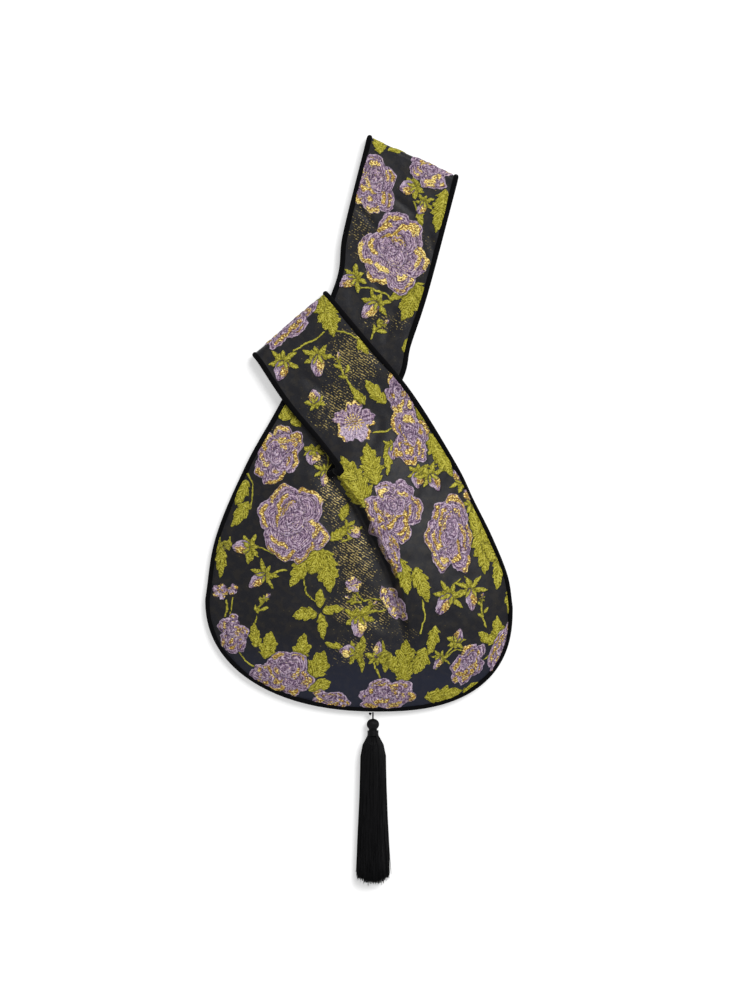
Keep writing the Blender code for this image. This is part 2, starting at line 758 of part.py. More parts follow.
def tassel_binding():
    """Thread wound round the neck: a ring turned from its section."""
    inner = BINDING_DIAMETER / 2 - BINDING_THICKNESS
    bm = bmesh.new()
    section = [(inner, 0.0), (inner, 1.0), (BINDING_DIAMETER / 2, 0.75), (BINDING_DIAMETER / 2, 0.25)]
    length = BINDING_LENGTH - LAYER_GAP
    verts = [bm.verts.new((radius, share * length, 0)) for radius, share in section]
    for a, b in zip(verts, [*verts[1:], verts[0]]):
        bm.edges.new((a, b))
    bmesh.ops.spin(
        bm, geom=list(bm.edges), axis=(0, 1, 0), cent=(0, 0, 0), angle=2 * math.pi, steps=20, use_merge=True
    )
    bmesh.ops.recalc_face_normals(bm, faces=bm.faces)
    neck_top = HEAD_TOP_Y - HEAD_LENGTH - LAYER_GAP
    bmesh.ops.translate(bm, verts=bm.verts, vec=(TASSEL_X, neck_top - length, SEAM_HEIGHT))
    hang_on(mesh_object("tassel_binding", bm, SILK), SWING_PIVOT)


def tassel_hanger():
    """The doubled cord that the tassel hangs on, one strand over the other, and the small knot beside it."""
    down = HEAD_TOP_Y + HANGER_SWING_GAP - LIFT_PIVOT.y
    turn = [math.pi * k / 6 for k in range(7)]
    arc = [(HANGER_SPREAD * math.sin(a), -HANGER_SPREAD * math.cos(a)) for a in turn]
    track = [LIFT_PIVOT + Vector((0, y, z)) for y, z in [(down, -HANGER_SPREAD), *arc, (down, HANGER_SPREAD)]]
    hanger = pipe("tassel_hanger", track, closed=False, radius=HANGER_DIAMETER / 2, look=SILK)
    hang_on(hanger, LIFT_PIVOT)
    bm = bmesh.new()
    bmesh.ops.create_uvsphere(bm, u_segments=12, v_segments=8, radius=KNOT_DIAMETER / 2)
    beside = HANGER_DIAMETER / 2 + LAYER_GAP + KNOT_DIAMETER / 2
    bmesh.ops.translate(bm, verts=bm.verts, vec=LIFT_PIVOT - Vector((beside, 0, 0)))
    hang_on(mesh_object("hanger_knot", bm, SILK), LIFT_PIVOT)


def start_parts():
    for obj in list(bpy.data.objects):
        bpy.data.objects.remove(obj)
    collection = bpy.data.collections.new("knot_bag")
    bpy.context.scene.collection.children.link(collection)
    return collection


PARTS = start_parts()
BROCADE = material("floral brocade", (0.030, 0.030, 0.042), 0.55)
SATIN = material("black satin lining", (0.012, 0.012, 0.014), 0.40)
VELVET = material("black velvet", (0.006, 0.006, 0.007), 0.90)
SILK = material("black silk thread", (0.008, 0.008, 0.009), 0.38)


def build_bag():
    brocade_panel("brocade_front", panel_mesh(FRONT_BODY, FRONT_LONG_ARM, FRONT_SHORT_ARM, False))
    brocade_panel("brocade_back", panel_mesh(BACK_BODY, BACK_LONG_ARM, BACK_SHORT_ARM, True))
    lining_panel("lining_front", panel_mesh(FRONT_BODY, FRONT_LONG_ARM, FRONT_SHORT_ARM, False))
    lining_panel("lining_back", panel_mesh(BACK_BODY, BACK_LONG_ARM, BACK_SHORT_ARM, True))
    neck_piping()
    seam_piping()
    armhole_piping("long_handle_piping", FRONT_LONG_ARM, BACK_LONG_ARM, 0)
    armhole_piping("short_handle_piping", FRONT_SHORT_ARM, BACK_SHORT_ARM, 1)
    tassel_threads()
    tassel_binding()
    tassel_hanger()


build_bag()
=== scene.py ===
"""Looks of a knot bag: floral brocade with raised motifs, velvet piping, satin lining and a silk tassel."""
import functools
import math

import bmesh
import bpy
import numpy as np
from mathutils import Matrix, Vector


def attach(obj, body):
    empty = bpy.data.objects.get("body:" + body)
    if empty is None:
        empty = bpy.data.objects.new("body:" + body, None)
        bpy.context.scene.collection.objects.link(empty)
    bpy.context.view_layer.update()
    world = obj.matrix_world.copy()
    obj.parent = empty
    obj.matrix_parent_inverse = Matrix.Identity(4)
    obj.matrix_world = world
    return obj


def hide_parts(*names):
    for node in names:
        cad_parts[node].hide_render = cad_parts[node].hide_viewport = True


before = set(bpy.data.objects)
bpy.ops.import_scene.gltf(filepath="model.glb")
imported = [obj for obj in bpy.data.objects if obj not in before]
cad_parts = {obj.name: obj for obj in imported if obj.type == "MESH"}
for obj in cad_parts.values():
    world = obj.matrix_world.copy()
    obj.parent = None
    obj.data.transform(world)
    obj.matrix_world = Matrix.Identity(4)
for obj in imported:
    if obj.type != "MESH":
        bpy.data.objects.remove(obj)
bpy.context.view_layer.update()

# Cloth and piping, in metres
BROCADE = 0.0011
LINING = 0.0005
GAP = 0.0003
PIPING_RADIUS = 0.0018
WALL = BROCADE + GAP + LINING
EDGE_INSET = PIPING_RADIUS + GAP
# The cloth runs in under the piping, so that no gap shows between them
UNDER_PIPING = 0.0014
CLOTH_INSET = EDGE_INSET - UNDER_PIPING
# Steps between the piping's measured points and between its rings, and how far in its lean is measured
PIPING_STRIDE = 0.006
PIPING_SPACING = 0.0016
INNER_SHARE = 0.12
# How far the velvet's pile stands out over the cloth
PILE = 0.00025
HANDLE_PILE = 0.00055
# The piping is thicker where it gathers at the crotch: by what share and how far round
GATHERING = 0.45
GATHERING_SPREAD = 0.010
FLOOR_CLEARANCE = 0.0001

# Body outline
HALF_WIDTH = 0.1292
BOTTOM_Y = -0.1695
BODY_BOTTOM = BOTTOM_Y - PIPING_RADIUS
BOTTOM_X = 0.016
WIDEST_LEFT_Y = -0.076
WIDEST_RIGHT_Y = -0.0825
BOWL_LEFT = 2.2
BOWL_RIGHT = 2.5
LEFT_SIDE = ((0.93, -0.023), (0.73, 0.0385), (0.475, 0.0985))
RIGHT_SIDE = ((0.967, -0.056), (0.865, -0.023), (0.745, 0.008), (0.63, 0.0385), (0.335, 0.0995))
WAIST_Y = 0.034
WAIST_BAND = 0.022
WAIST_SMOOTHING = 24
LINE_POINTS = 220
LOWER_CORNERS = (-0.80, 0.86)

# Handles
HANDLE_WIDTH = 0.084
LONG_WAIST_WIDTH = 0.077
LONG_NECK_BENDS = ((0.014, 0.0085), (0.052, 0.0066), (0.100, 0.0032))
SHORT_NECK_BENDS = ((-0.012, -0.0030), (0.030, -0.0030))
LONG_ROOT = (-0.0041, 0.0999)
LONG_LEAN = 14
LONG_REACH = 0.2080
LONG_BEND_SKEW = 0.0073
LONG_SHOULDER_SHARE = 0.62
LONG_WAIST_SHARE = 0.40
SHORT_ROOT = (-0.0072, 0.0973)
SHORT_LEAN = -40
SHORT_REACH = 0.0808
SHORT_BEND_SKEW = -0.0006
SHORT_SHOULDER_SHARE = 0.35
BEND_FLAP = 0.012

# The fold down the front
CROTCH = np.array((-0.0190, 0.028))
CROTCH_WIDTH = 0.0069
CROTCH_DIP = -0.0042
NECK_STANDOFF = 0.0012
NECK_FLARE = 0.0008
NECK_UPRIGHT = 0.009
CREST_PATH = ((0.0035, 0.003), (0.0185, -0.025), (0.0340, -0.057), (0.0430, -0.090), (0.0500, -0.121))
CREST_FOOT_SHIFT = 0.006
FOLD_FOOT = 0.012
FOLD_OPENING = 1.6
FOLD_FADE = (0.45, 0.92)

# Heights
SEAM_HEIGHT = 0.0070
EDGE_LIFT = 0.00125
FRONT_RISE = 0.0145
FRONT_SHOULDER = 0.075
BACK_SHOULDER = 0.030
CREST_RISE = 0.0095
CREST_SPREAD = 0.048
CREST_SHOULDER = 0.020
VALLEY_DEPTH = 0.0060
VALLEY_SPREAD = 0.016
BACK_FOLD_DEPTH = 0.0085
BACK_FOLD_SPREAD = 0.040
NECK_LIFT_SPREAD = 0.020
PIPING_STEP = 2 * PIPING_RADIUS + GAP
SHORT_BACK_LEVEL = PIPING_RADIUS - WALL / 2 + FLOOR_CLEARANCE
LONG_BACK_LEVEL = SHORT_BACK_LEVEL + PIPING_STEP
LONG_FRONT_LEVEL = LONG_BACK_LEVEL + PIPING_STEP + WALL
SHORT_FRONT_LEVEL = LONG_FRONT_LEVEL + PIPING_STEP
LONG_TIP_THICKNESS = 0.0110
LONG_SETTLE = (0.095, 0.155)
LONG_CLIMB_Y = 0.026
LONG_CLIMB_LENGTH = 0.036
LONG_CLIMB_SHARE = 0.04
SHORT_FRONT_CLIMB_SHARE = 0.45
SHORT_BACK_CLIMB_SHARE = 0.15
LONG_BEND_RADIUS = LONG_TIP_THICKNESS / 2
SHORT_BEND_RADIUS = (SHORT_FRONT_LEVEL - SHORT_BACK_LEVEL) / 2

# Tassel
TASSEL_X = 0.0119
HEAD_TOP_Y = -0.1771
HEAD_DIAMETER = 0.0106
HEAD_LENGTH = 0.0100
BINDING_DIAMETER = 0.0098
BINDING_LENGTH = 0.0046
SKIRT_LENGTH = 0.1231
SKIRT_SHOULDER = 0.13
SKIRT_SHOULDER_WIDTH = 0.0215
SKIRT_END_WIDTH = 0.0285
SKIRT_THICKNESS = 0.0126
HANGER_DIAMETER = 0.0013
# How far the cord reaches into the head, where its two sides part, and the steps between its rings
CORD_END = 0.0001
CORD_PARTS = 0.0022
CORD_SPACING = 0.0002
KNOT_DIAMETER = 0.0028
KNOT_CORD = 0.00084
KNOT_SCALE = (0.00032, 0.00032, 0.00055)
HEAD_TIP_RADIUS = 0.0004
NECK_INSET = 0.0014
BINDING_TURNS = 4.6
BINDING_THREAD = 0.00104
BINDING_INSET = 0.0006
BINDING_START = 0.0003
BINDING_RUN = 0.0040
# The solid core under the strands: its length and width as shares, and the grooves round its head
CORE_SHARE = 0.96
CORE_WIDTH = 0.86
GROOVE_DEPTH = 0.045
GROOVE_START = 0.002
THREADS_ROUND_HEAD = 36
STRANDS = 1500
STRAND_ROWS = 12
STRAND_RADIUS = 0.00034
# How far up under the binding strands start, how far they sway and stray, and their room to the table
STRAND_START = 0.0022
STRAND_SWAY = 0.0007
STRAY_REACH = 0.0022
STRAND_CLEARANCE = 0.0002

# The weave, in millimetres
RIDGE_PITCH = 1.9
# Drawn as coarse as it needs to show: the real rows of gold thread are under a millimetre apart
TWILL_PITCH = 2.0
TWILL_TURN = 0.60

# The camera, and the lights on the floor, all round and above
CAMERA_HEIGHT = 2.0
VIEW_CENTRE = (0.01365, 0.0089)
VIEW_TALL = 0.85
MIDDLE_HEIGHT = 0.010
SENSOR = 36
FLOOR_GLOW = 0.42
SKY_LIGHT = 0.40
KEY_PLACE = (2.2, 2.6, 4.6)
KEY_SIZE = 2.6
KEY_POWER = 235

# Mesh cells across the cloth
FRONT_CELL = 0.00084
HANDLE_CELL = 0.00072
BACK_CELL = 0.00115
LINING_CELL = 0.0026
SEWN_WITHIN = 1e-5

# Where the long handle's cloth is parted into two meshes, hidden under the short handle
PARTING = 0.30


def clamp(value, low=0.0, high=1.0):
    return np.clip(value, low, high)


def ease(value):
    t = clamp(value)
    return t * t * (3 - 2 * t)


def mix(a, b, t):
    return a + (b - a) * t


def column(values):
    return np.asarray(values)[..., None]


def spline_through(points, steps=24):
    """A smooth plan line through the points."""
    p = np.array(points, float)
    p = np.vstack([2 * p[0] - p[1], p, 2 * p[-1] - p[-2]])
    t = column(np.arange(steps) / steps)
    line = []
    for a, b, c, d in zip(p, p[1:], p[2:], p[3:]):
        line.append(
            0.5 * (2 * b + (c - a) * t + (2 * a - 5 * b + 4 * c - d) * t**2 + (3 * b - a - 3 * c + d) * t**3)
        )
    return np.vstack([*line, p[-2]])


def lengths_along(line):
    return np.concatenate([[0], np.cumsum(np.linalg.norm(np.diff(line, axis=0), axis=1))])


def at_places(line, marks, places):
    """Points on a line at places measured on the same scale as its marks."""
    return np.stack([np.interp(places, marks, line[:, i]) for i in range(line.shape[1])], axis=-1)


def spaced(line, count=LINE_POINTS):
    along = lengths_along(line)
    return at_places(line, along, np.linspace(0, along[-1], count))


def at(line, share):
    return at_places(line, np.linspace(0, 1, len(line)), share)


def cut_line(line, start, end, count=LINE_POINTS):
    return spaced(at(line, np.linspace(start, end, count + 1)), count)


def inset(line, amount):
    """The line moved to its right-hand side by amount."""
    along = np.gradient(line, axis=0)
    side = np.stack([along[:, 1], -along[:, 0]], axis=1)
    return line + side / column(np.linalg.norm(side, axis=1)) * amount


def distance_to(line, points):
    """(distance to the line, share of its length at the nearest point) for many points."""
    best = np.full(len(points), 1e9)
    share = np.zeros(len(points))
    last = len(line) - 1
    for i in range(last):
        a, b = line[i], line[i + 1]
        along = b - a
        t = clamp((points - a) @ along / (along @ along))
        away = np.hypot(points[:, 0] - a[0] - along[0] * t, points[:, 1] - a[1] - along[1] * t)
        near = away < best
        best[near] = away[near]
        share[near] = (i + t[near]) / last
    return best, share


class Handle:
    """Plan geometry of one handle: an axis from its root, and its two corners at the bend."""

    def __init__(self, root, lean, reach, skew, bend_radius):
        lean = math.radians(lean)
        self.root = np.array(root)
        self.axis = np.array((math.sin(lean), math.cos(lean)))
        self.across = np.array((math.cos(lean), -math.sin(lean)))
        self.reach = reach - bend_radius
        self.skew = skew
        self.bend_radius = bend_radius

    def edge(self, side, along, width=HANDLE_WIDTH):
        return self.root + self.axis * along + self.across * side * (width / 2 - PIPING_RADIUS)

    def corner(self, side):
        return self.edge(side, self.reach - side * self.skew)


LONG = Handle(LONG_ROOT, LONG_LEAN, LONG_REACH, LONG_BEND_SKEW, LONG_BEND_RADIUS)
SHORT = Handle(SHORT_ROOT, SHORT_LEAN, SHORT_REACH, SHORT_BEND_SKEW, SHORT_BEND_RADIUS)


def bowl(side, widest_y, roundness):
    """The rounded bottom on one side, from the widest level down to the lowest point."""
    angle = np.linspace(0, math.pi / 2, 25)
    out = clamp(np.cos(angle)) ** (2 / roundness)
    down = np.sin(angle) ** (2 / roundness)
    reach = HALF_WIDTH - side * BOTTOM_X
    return np.stack([BOTTOM_X + side * reach * out, widest_y - (widest_y - BOTTOM_Y) * down], axis=1)


def outer_line():
    left_top = [
        LONG.corner(-1),
        LONG.edge(-1, LONG_REACH * LONG_SHOULDER_SHARE),
        LONG.edge(-1, LONG_REACH * LONG_WAIST_SHARE, LONG_WAIST_WIDTH),
        *[(-share * HALF_WIDTH, y) for share, y in reversed(LEFT_SIDE)],
        (-HALF_WIDTH, WIDEST_LEFT_Y),
    ]
    right_top = [
        (HALF_WIDTH, WIDEST_RIGHT_Y),
        *[(share * HALF_WIDTH, y) for share, y in RIGHT_SIDE],
        SHORT.edge(1, SHORT_REACH * SHORT_SHOULDER_SHARE),
        SHORT.corner(1),
    ]
    left_bowl = bowl(-1, WIDEST_LEFT_Y, BOWL_LEFT)
    right_bowl = bowl(1, WIDEST_RIGHT_Y, BOWL_RIGHT)
    parts = [spline_through(left_top), left_bowl[1:], right_bowl[-2::-1], spline_through(right_top)[1:]]
    return spaced(np.vstack(parts), 3 * LINE_POINTS)


OUTER = outer_line()
OUTER_IN = inset(OUTER, -CLOTH_INSET)
LAST = len(OUTER) - 1
LEFT_WAIST = np.nonzero(OUTER[:, 1] < WAIST_Y)[0][0] / LAST
RIGHT_WAIST = np.nonzero(OUTER[:, 1] < WAIST_Y)[0][-1] / LAST
LONG_CORNER = CROTCH - (CROTCH_WIDTH / 2, 0)
SHORT_CORNER = CROTCH + (CROTCH_WIDTH / 2, 0)


def foot_share(x):
    low = np.nonzero(OUTER_IN[:, 1] < WIDEST_RIGHT_Y)[0]
    return low[np.argmin(abs(OUTER_IN[low, 0] - x))] / LAST


FOOT_X = CREST_PATH[-1][0] + CREST_FOOT_SHIFT
VALLEY_FOOT = foot_share(FOOT_X - FOLD_FOOT)
CREST_FOOT = foot_share(FOOT_X)
LOWER_LEFT, LOWER_RIGHT = (foot_share(share * HALF_WIDTH) for share in LOWER_CORNERS)
CREST = spaced(spline_through([SHORT_CORNER, *CREST_PATH, at(OUTER_IN, CREST_FOOT)]))


def valley_line():
    share = np.linspace(0, 1, len(CREST))
    line = CREST - np.stack([mix(CROTCH_WIDTH, FOLD_FOOT, share**FOLD_OPENING), 0 * share], axis=1)
    line[0], line[-1] = LONG_CORNER, at(OUTER_IN, VALLEY_FOOT)
    return spaced(line)


VALLEY = valley_line()


def neck_line(handle, side, corner, bends):
    reach = HANDLE_WIDTH / 2 - CLOTH_INSET
    top = handle.corner(side) - handle.across * side * CLOTH_INSET
    middle = [handle.root + handle.axis * a + handle.across * side * (reach - n) for a, n in bends]
    return spaced(spline_through([corner, corner + (side * NECK_FLARE, NECK_UPRIGHT), *middle, top]))


LONG_NECK = neck_line(LONG, 1, LONG_CORNER, LONG_NECK_BENDS)
SHORT_NECK = neck_line(SHORT, -1, SHORT_CORNER, SHORT_NECK_BENDS)
LONG_OUTER = cut_line(OUTER_IN, LEFT_WAIST, 0)
SHORT_OUTER = cut_line(OUTER_IN, RIGHT_WAIST, 1)


class Ground:
    """What the cloth's height depends on at many plan points: distances from the edge and from the fold."""

    def __init__(self, p):
        self.p = p
        self.edge = distance_to(OUTER[::3], p)[0] - EDGE_INSET
        self.valley, share = distance_to(VALLEY[::5], p)
        self.valley_strength = self.strength(share)
        self.crest, share = distance_to(CREST[::5], p)
        self.crest_strength = self.strength(share)

    @staticmethod
    def strength(share):
        return 1 - ease((share - FOLD_FADE[0]) / (FOLD_FADE[1] - FOLD_FADE[0]))

    def pillow(self, shoulder):
        return np.sin(math.pi / 2 * clamp(self.edge / shoulder)) ** 0.8

    def front_low(self):
        rise = self.pillow(FRONT_SHOULDER)
        dent = VALLEY_DEPTH * self.valley_strength * np.exp(-self.valley / VALLEY_SPREAD)
        return SEAM_HEIGHT + EDGE_LIFT + (FRONT_RISE - dent) * rise

    def front_high(self):
        crown = CREST_RISE * self.crest_strength * np.exp(-((self.crest / CREST_SPREAD) ** 1.5))
        rise = FRONT_RISE * self.pillow(FRONT_SHOULDER)
        return SEAM_HEIGHT + EDGE_LIFT + rise + crown * self.pillow(CREST_SHOULDER)

    def back_edge(self):
        return (SEAM_HEIGHT - EDGE_LIFT) * (1 - self.pillow(BACK_SHOULDER))

    def back_low(self):
        lift = BACK_FOLD_DEPTH * self.valley_strength * np.exp(-self.valley / BACK_FOLD_SPREAD)
        return self.back_edge() + lift * self.pillow(CREST_SHOULDER)

    def back_high(self):
        away = np.linalg.norm(self.p - SHORT_CORNER, axis=1)
        return self.back_edge() + SHORT_BACK_LEVEL * np.exp(-((away / NECK_LIFT_SPREAD) ** 2))


def long_levels(p):
    along = (p - LONG.root) @ LONG.axis
    settle = ease((along - LONG_SETTLE[0]) / (LONG_SETTLE[1] - LONG_SETTLE[0]))
    tip_front = SHORT_BACK_LEVEL + LONG_TIP_THICKNESS
    return mix(LONG_FRONT_LEVEL, tip_front, settle), mix(LONG_BACK_LEVEL, SHORT_BACK_LEVEL, settle)


def long_blend(p, share):
    return ease((p[:, 1] - LONG_CLIMB_Y) / LONG_CLIMB_LENGTH) * ease(share / LONG_CLIMB_SHARE)


HEIGHTS = {
    "front_long": lambda g, s: mix(g.front_low(), long_levels(g.p)[0], long_blend(g.p, s)),
    "back_long": lambda g, s: mix(g.back_low(), long_levels(g.p)[1], long_blend(g.p, s)),
    "front_short": lambda g, s: mix(g.front_high(), SHORT_FRONT_LEVEL, ease(s / SHORT_FRONT_CLIMB_SHARE)),
    "back_short": lambda g, s: mix(g.back_high(), SHORT_BACK_LEVEL, ease(s / SHORT_BACK_CLIMB_SHARE)),
}


def coons(left, right, bottom, top):
    """A four-sided patch between boundary lines, as a function of arrays u and v."""
    ends = [side(np.array(t)) for side in (bottom, top) for t in (0.0, 1.0)]

    def place(u, v):
        ruled = mix(left(v), right(v), column(u)) + mix(bottom(u), top(u), column(v))
        low, high = mix(ends[0], ends[1], column(u)), mix(ends[2], ends[3], column(u))
        return ruled - mix(low, high, column(v))

    return place


def stretch(line, start, end):
    return lambda t: at(line, mix(start, end, t))


def straight(a, b):
    return lambda t: mix(np.asarray(a), np.asarray(b), column(t))


def crotch_edge(b):
    return straight(LONG_CORNER, SHORT_CORNER)(b) - column(CROTCH_DIP * np.sin(math.pi * b)) * (0, 1)


LEFT_PLAN = coons(
    stretch(OUTER_IN, LOWER_LEFT, LEFT_WAIST),
    stretch(VALLEY, 1, 0),
    stretch(OUTER_IN, LOWER_LEFT, VALLEY_FOOT),
    straight(LONG_OUTER[0], LONG_CORNER),
)
FOLD_PLAN = coons(
    stretch(VALLEY, 1, 0),
    stretch(CREST, 1, 0),
    stretch(OUTER_IN, VALLEY_FOOT, CREST_FOOT),
    crotch_edge,
)
RIGHT_PLAN = coons(
    stretch(CREST, 1, 0),
    stretch(OUTER_IN, LOWER_RIGHT, RIGHT_WAIST),
    stretch(OUTER_IN, CREST_FOOT, LOWER_RIGHT),
    straight(SHORT_CORNER, SHORT_OUTER[0]),
)


def join(p, z):
    return np.column_stack([p, z])


def body_strip(plan, low, high):
    """A strip of the body from u, v. Its height goes from low to high across u."""

    def place(u, v):
        p = plan(u, v)
        g = Ground(p)
        z = mix(getattr(g, low)(), getattr(g, high)(), ease(u)) if low != high else getattr(g, low)()
        return join(p, z), p

    return place


class Arm:
    """One arm of the front or back: from u across and share along, then its bend and flap if it has them."""

    def __init__(self, handle, left_edge, right_edge, height, bends):
        self.handle = handle
        self.edges = left_edge, right_edge
        self.height = HEIGHTS[height]
        self.bends = bends
        shorter = min(lengths_along(left_edge)[-1], lengths_along(right_edge)[-1])
        self.flap = BEND_FLAP / shorter
        self.flat_length = max(lengths_along(left_edge)[-1], lengths_along(right_edge)[-1])
        self.end = 1.0 if bends else 1 - self.flap
        self.bend_length = math.pi * handle.bend_radius
        self.length = self.flat_length + (self.bend_length + BEND_FLAP if bends else 0)

    def plan(self, u, share):
        return mix(at(self.edges[0], share), at(self.edges[1], share), column(u))

    def place(self, u, distance):
        """Places and cloth places at a distance along the arm, in metres from the waist."""
        share = clamp(distance / self.flat_length) * self.end
        p = self.plan(u, share)
        past = np.maximum(distance - self.flat_length, 0)
        turn = np.minimum(past / self.bend_length, 1) * math.pi
        flap = np.maximum(past - self.bend_length, 0)
        cloth = p + column(past) * self.handle.axis
        if not self.bends:
            return join(p, self.height(Ground(p), share)), cloth
        p = self.plan(u, share - self.flap * flap / BEND_FLAP)
        p = p + column(self.handle.bend_radius * np.sin(turn)) * self.handle.axis
        flat = self.height(Ground(p), share)
        centre = SHORT_BACK_LEVEL + self.handle.bend_radius
        z = np.where(past > 0, centre + self.handle.bend_radius * np.cos(turn), flat)
        return join(p, z), cloth


ARMS = {
    "front_long": Arm(LONG, LONG_OUTER, LONG_NECK, "front_long", True),
    "front_short": Arm(SHORT, SHORT_NECK, SHORT_OUTER, "front_short", True),
    "back_long": Arm(LONG, LONG_OUTER, LONG_NECK, "back_long", False),
    "back_short": Arm(SHORT, SHORT_NECK, SHORT_OUTER, "back_short", False),
}
LEFT_SPAN, FOLD_SPAN, RIGHT_SPAN, BODY_SPAN = 0.098, 0.019, 0.108, 0.200


def arm_rows(arm, cell, start=0.0, end=None):
    """The number of cells along an arm between two shares of its flat length, and its places from u, v."""
    low = start * arm.flat_length
    high = arm.length if end is None else end * arm.flat_length
    return max(4, round((high - low) / cell)), lambda u, v: arm.place(u, mix(low, high, v))


def panel_strips(side, cell, whole=True):
    """(columns, rows, place, region) of a panel's strips: region 0 is left of the fold, 1 right of it."""
    low, high = side + "_low", side + "_high"
    left, fold, right = (round(span / cell) for span in (LEFT_SPAN, FOLD_SPAN, RIGHT_SPAN))
    rows = round(BODY_SPAN / cell)
    return [
        (left, rows, body_strip(LEFT_PLAN, low, low), 0),
        (fold, rows, body_strip(FOLD_PLAN, low, high), 1),
        (right, rows, body_strip(RIGHT_PLAN, high, high), 1),
        (left, *arm_rows(ARMS[side + "_long"], cell, 0.0, None if whole else PARTING), 0),
        (right, *arm_rows(ARMS[side + "_short"], cell), 1),
    ]


def strips_mesh(name, strips, faces_down=False):
    """The strips as grids sewn into one sheet. It keeps each point's place and region on the flat cloth."""
    bm = bmesh.new()
    marks = bm.verts.layers.float_vector.new("marks")
    for number, (columns, rows, _, _) in enumerate(strips):
        made = bmesh.ops.create_grid(bm, x_segments=columns, y_segments=rows, size=0.5)
        for vert in made["verts"]:
            vert[marks] = (number, vert.co.x + 0.5, vert.co.y + 0.5)
    mesh = bpy.data.meshes.new(name)
    bm.to_mesh(mesh)
    marked = read_points(mesh, "marks")
    places, cloth = np.zeros((len(marked), 3)), np.zeros((len(marked), 3))
    for number, (_, _, place, region) in enumerate(strips):
        mine = marked[:, 0].round() == number
        places[mine], flat = place(marked[mine, 1], marked[mine, 2])
        cloth[mine] = join(flat, np.full(mine.sum(), float(region)))
    mesh.vertices.foreach_set("co", places.ravel())
    mesh.attributes["marks"].data.foreach_set("vector", cloth.ravel())
    bm.clear()
    bm.from_mesh(mesh)
    bmesh.ops.remove_doubles(bm, verts=bm.verts, dist=SEWN_WITHIN)
    waist = [v for v in bm.verts if abs(v.co.y - WAIST_Y) < WAIST_BAND and not v.is_boundary]
    for _ in range(WAIST_SMOOTHING):
        bmesh.ops.smooth_vert(bm, verts=waist, factor=0.5, use_axis_z=True)
    if faces_down:
        bmesh.ops.reverse_faces(bm, faces=bm.faces)
    bm.normal_update()
    bm.to_mesh(mesh)
    bm.free()
    return mesh


def read_points(mesh, key="co"):
    values = np.zeros(3 * len(mesh.vertices))
    if key == "co":
        mesh.vertices.foreach_get("co", values)
    elif key == "normal":
        mesh.vertex_normals.foreach_get("vector", values)
    else:
        mesh.attributes[key].data.foreach_get("vector", values)
    return values.reshape(-1, 3)


def write_points(mesh, places):
    mesh.vertices.foreach_set("co", places.astype(np.float32).ravel())
    mesh.update()


def keep_numbers(mesh, name, values):
    layer = mesh.attributes.new(name, "FLOAT", "POINT")
    layer.data.foreach_set("value", np.asarray(values, np.float32))


def piece(name, mesh, material, replaced=(), body="bag"):
    """A finished object that rides on its body."""
    obj = bpy.data.objects.new(name, mesh)
    bpy.context.scene.collection.objects.link(obj)
    mesh.materials.append(material)
    mesh.shade_smooth()
    if replaced:
        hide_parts(*replaced)
    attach(obj, body)
    return obj


def soft_noise(x, y, seed=0.0):
    """Smooth noise from 0 to 1, one hill to a unit."""
    i, j = np.floor(x), np.floor(y)
    u, v = ease(x - i), ease(y - j)

    def corner(a, b):
        value = np.sin((i + a) * 127.1 + (j + b) * 311.7 + seed * 74.7) * 43758.5453
        return value - np.floor(value)

    return mix(mix(corner(0, 0), corner(1, 0), u), mix(corner(0, 1), corner(1, 1), u), v)


# The woven pattern. Places and sizes are in millimetres on the flat cloth, turns in degrees anticlockwise.
# Sides: the cloth left of the fold with the long handle, right of it with the short handle, or both.
LEFT, RIGHT, BOTH = 0, 1, 2
FAR = -6.0
PATTERN_FIELDS = ("rose", "leaf", "ridge", "rib", "gold", "lurex", "shade")


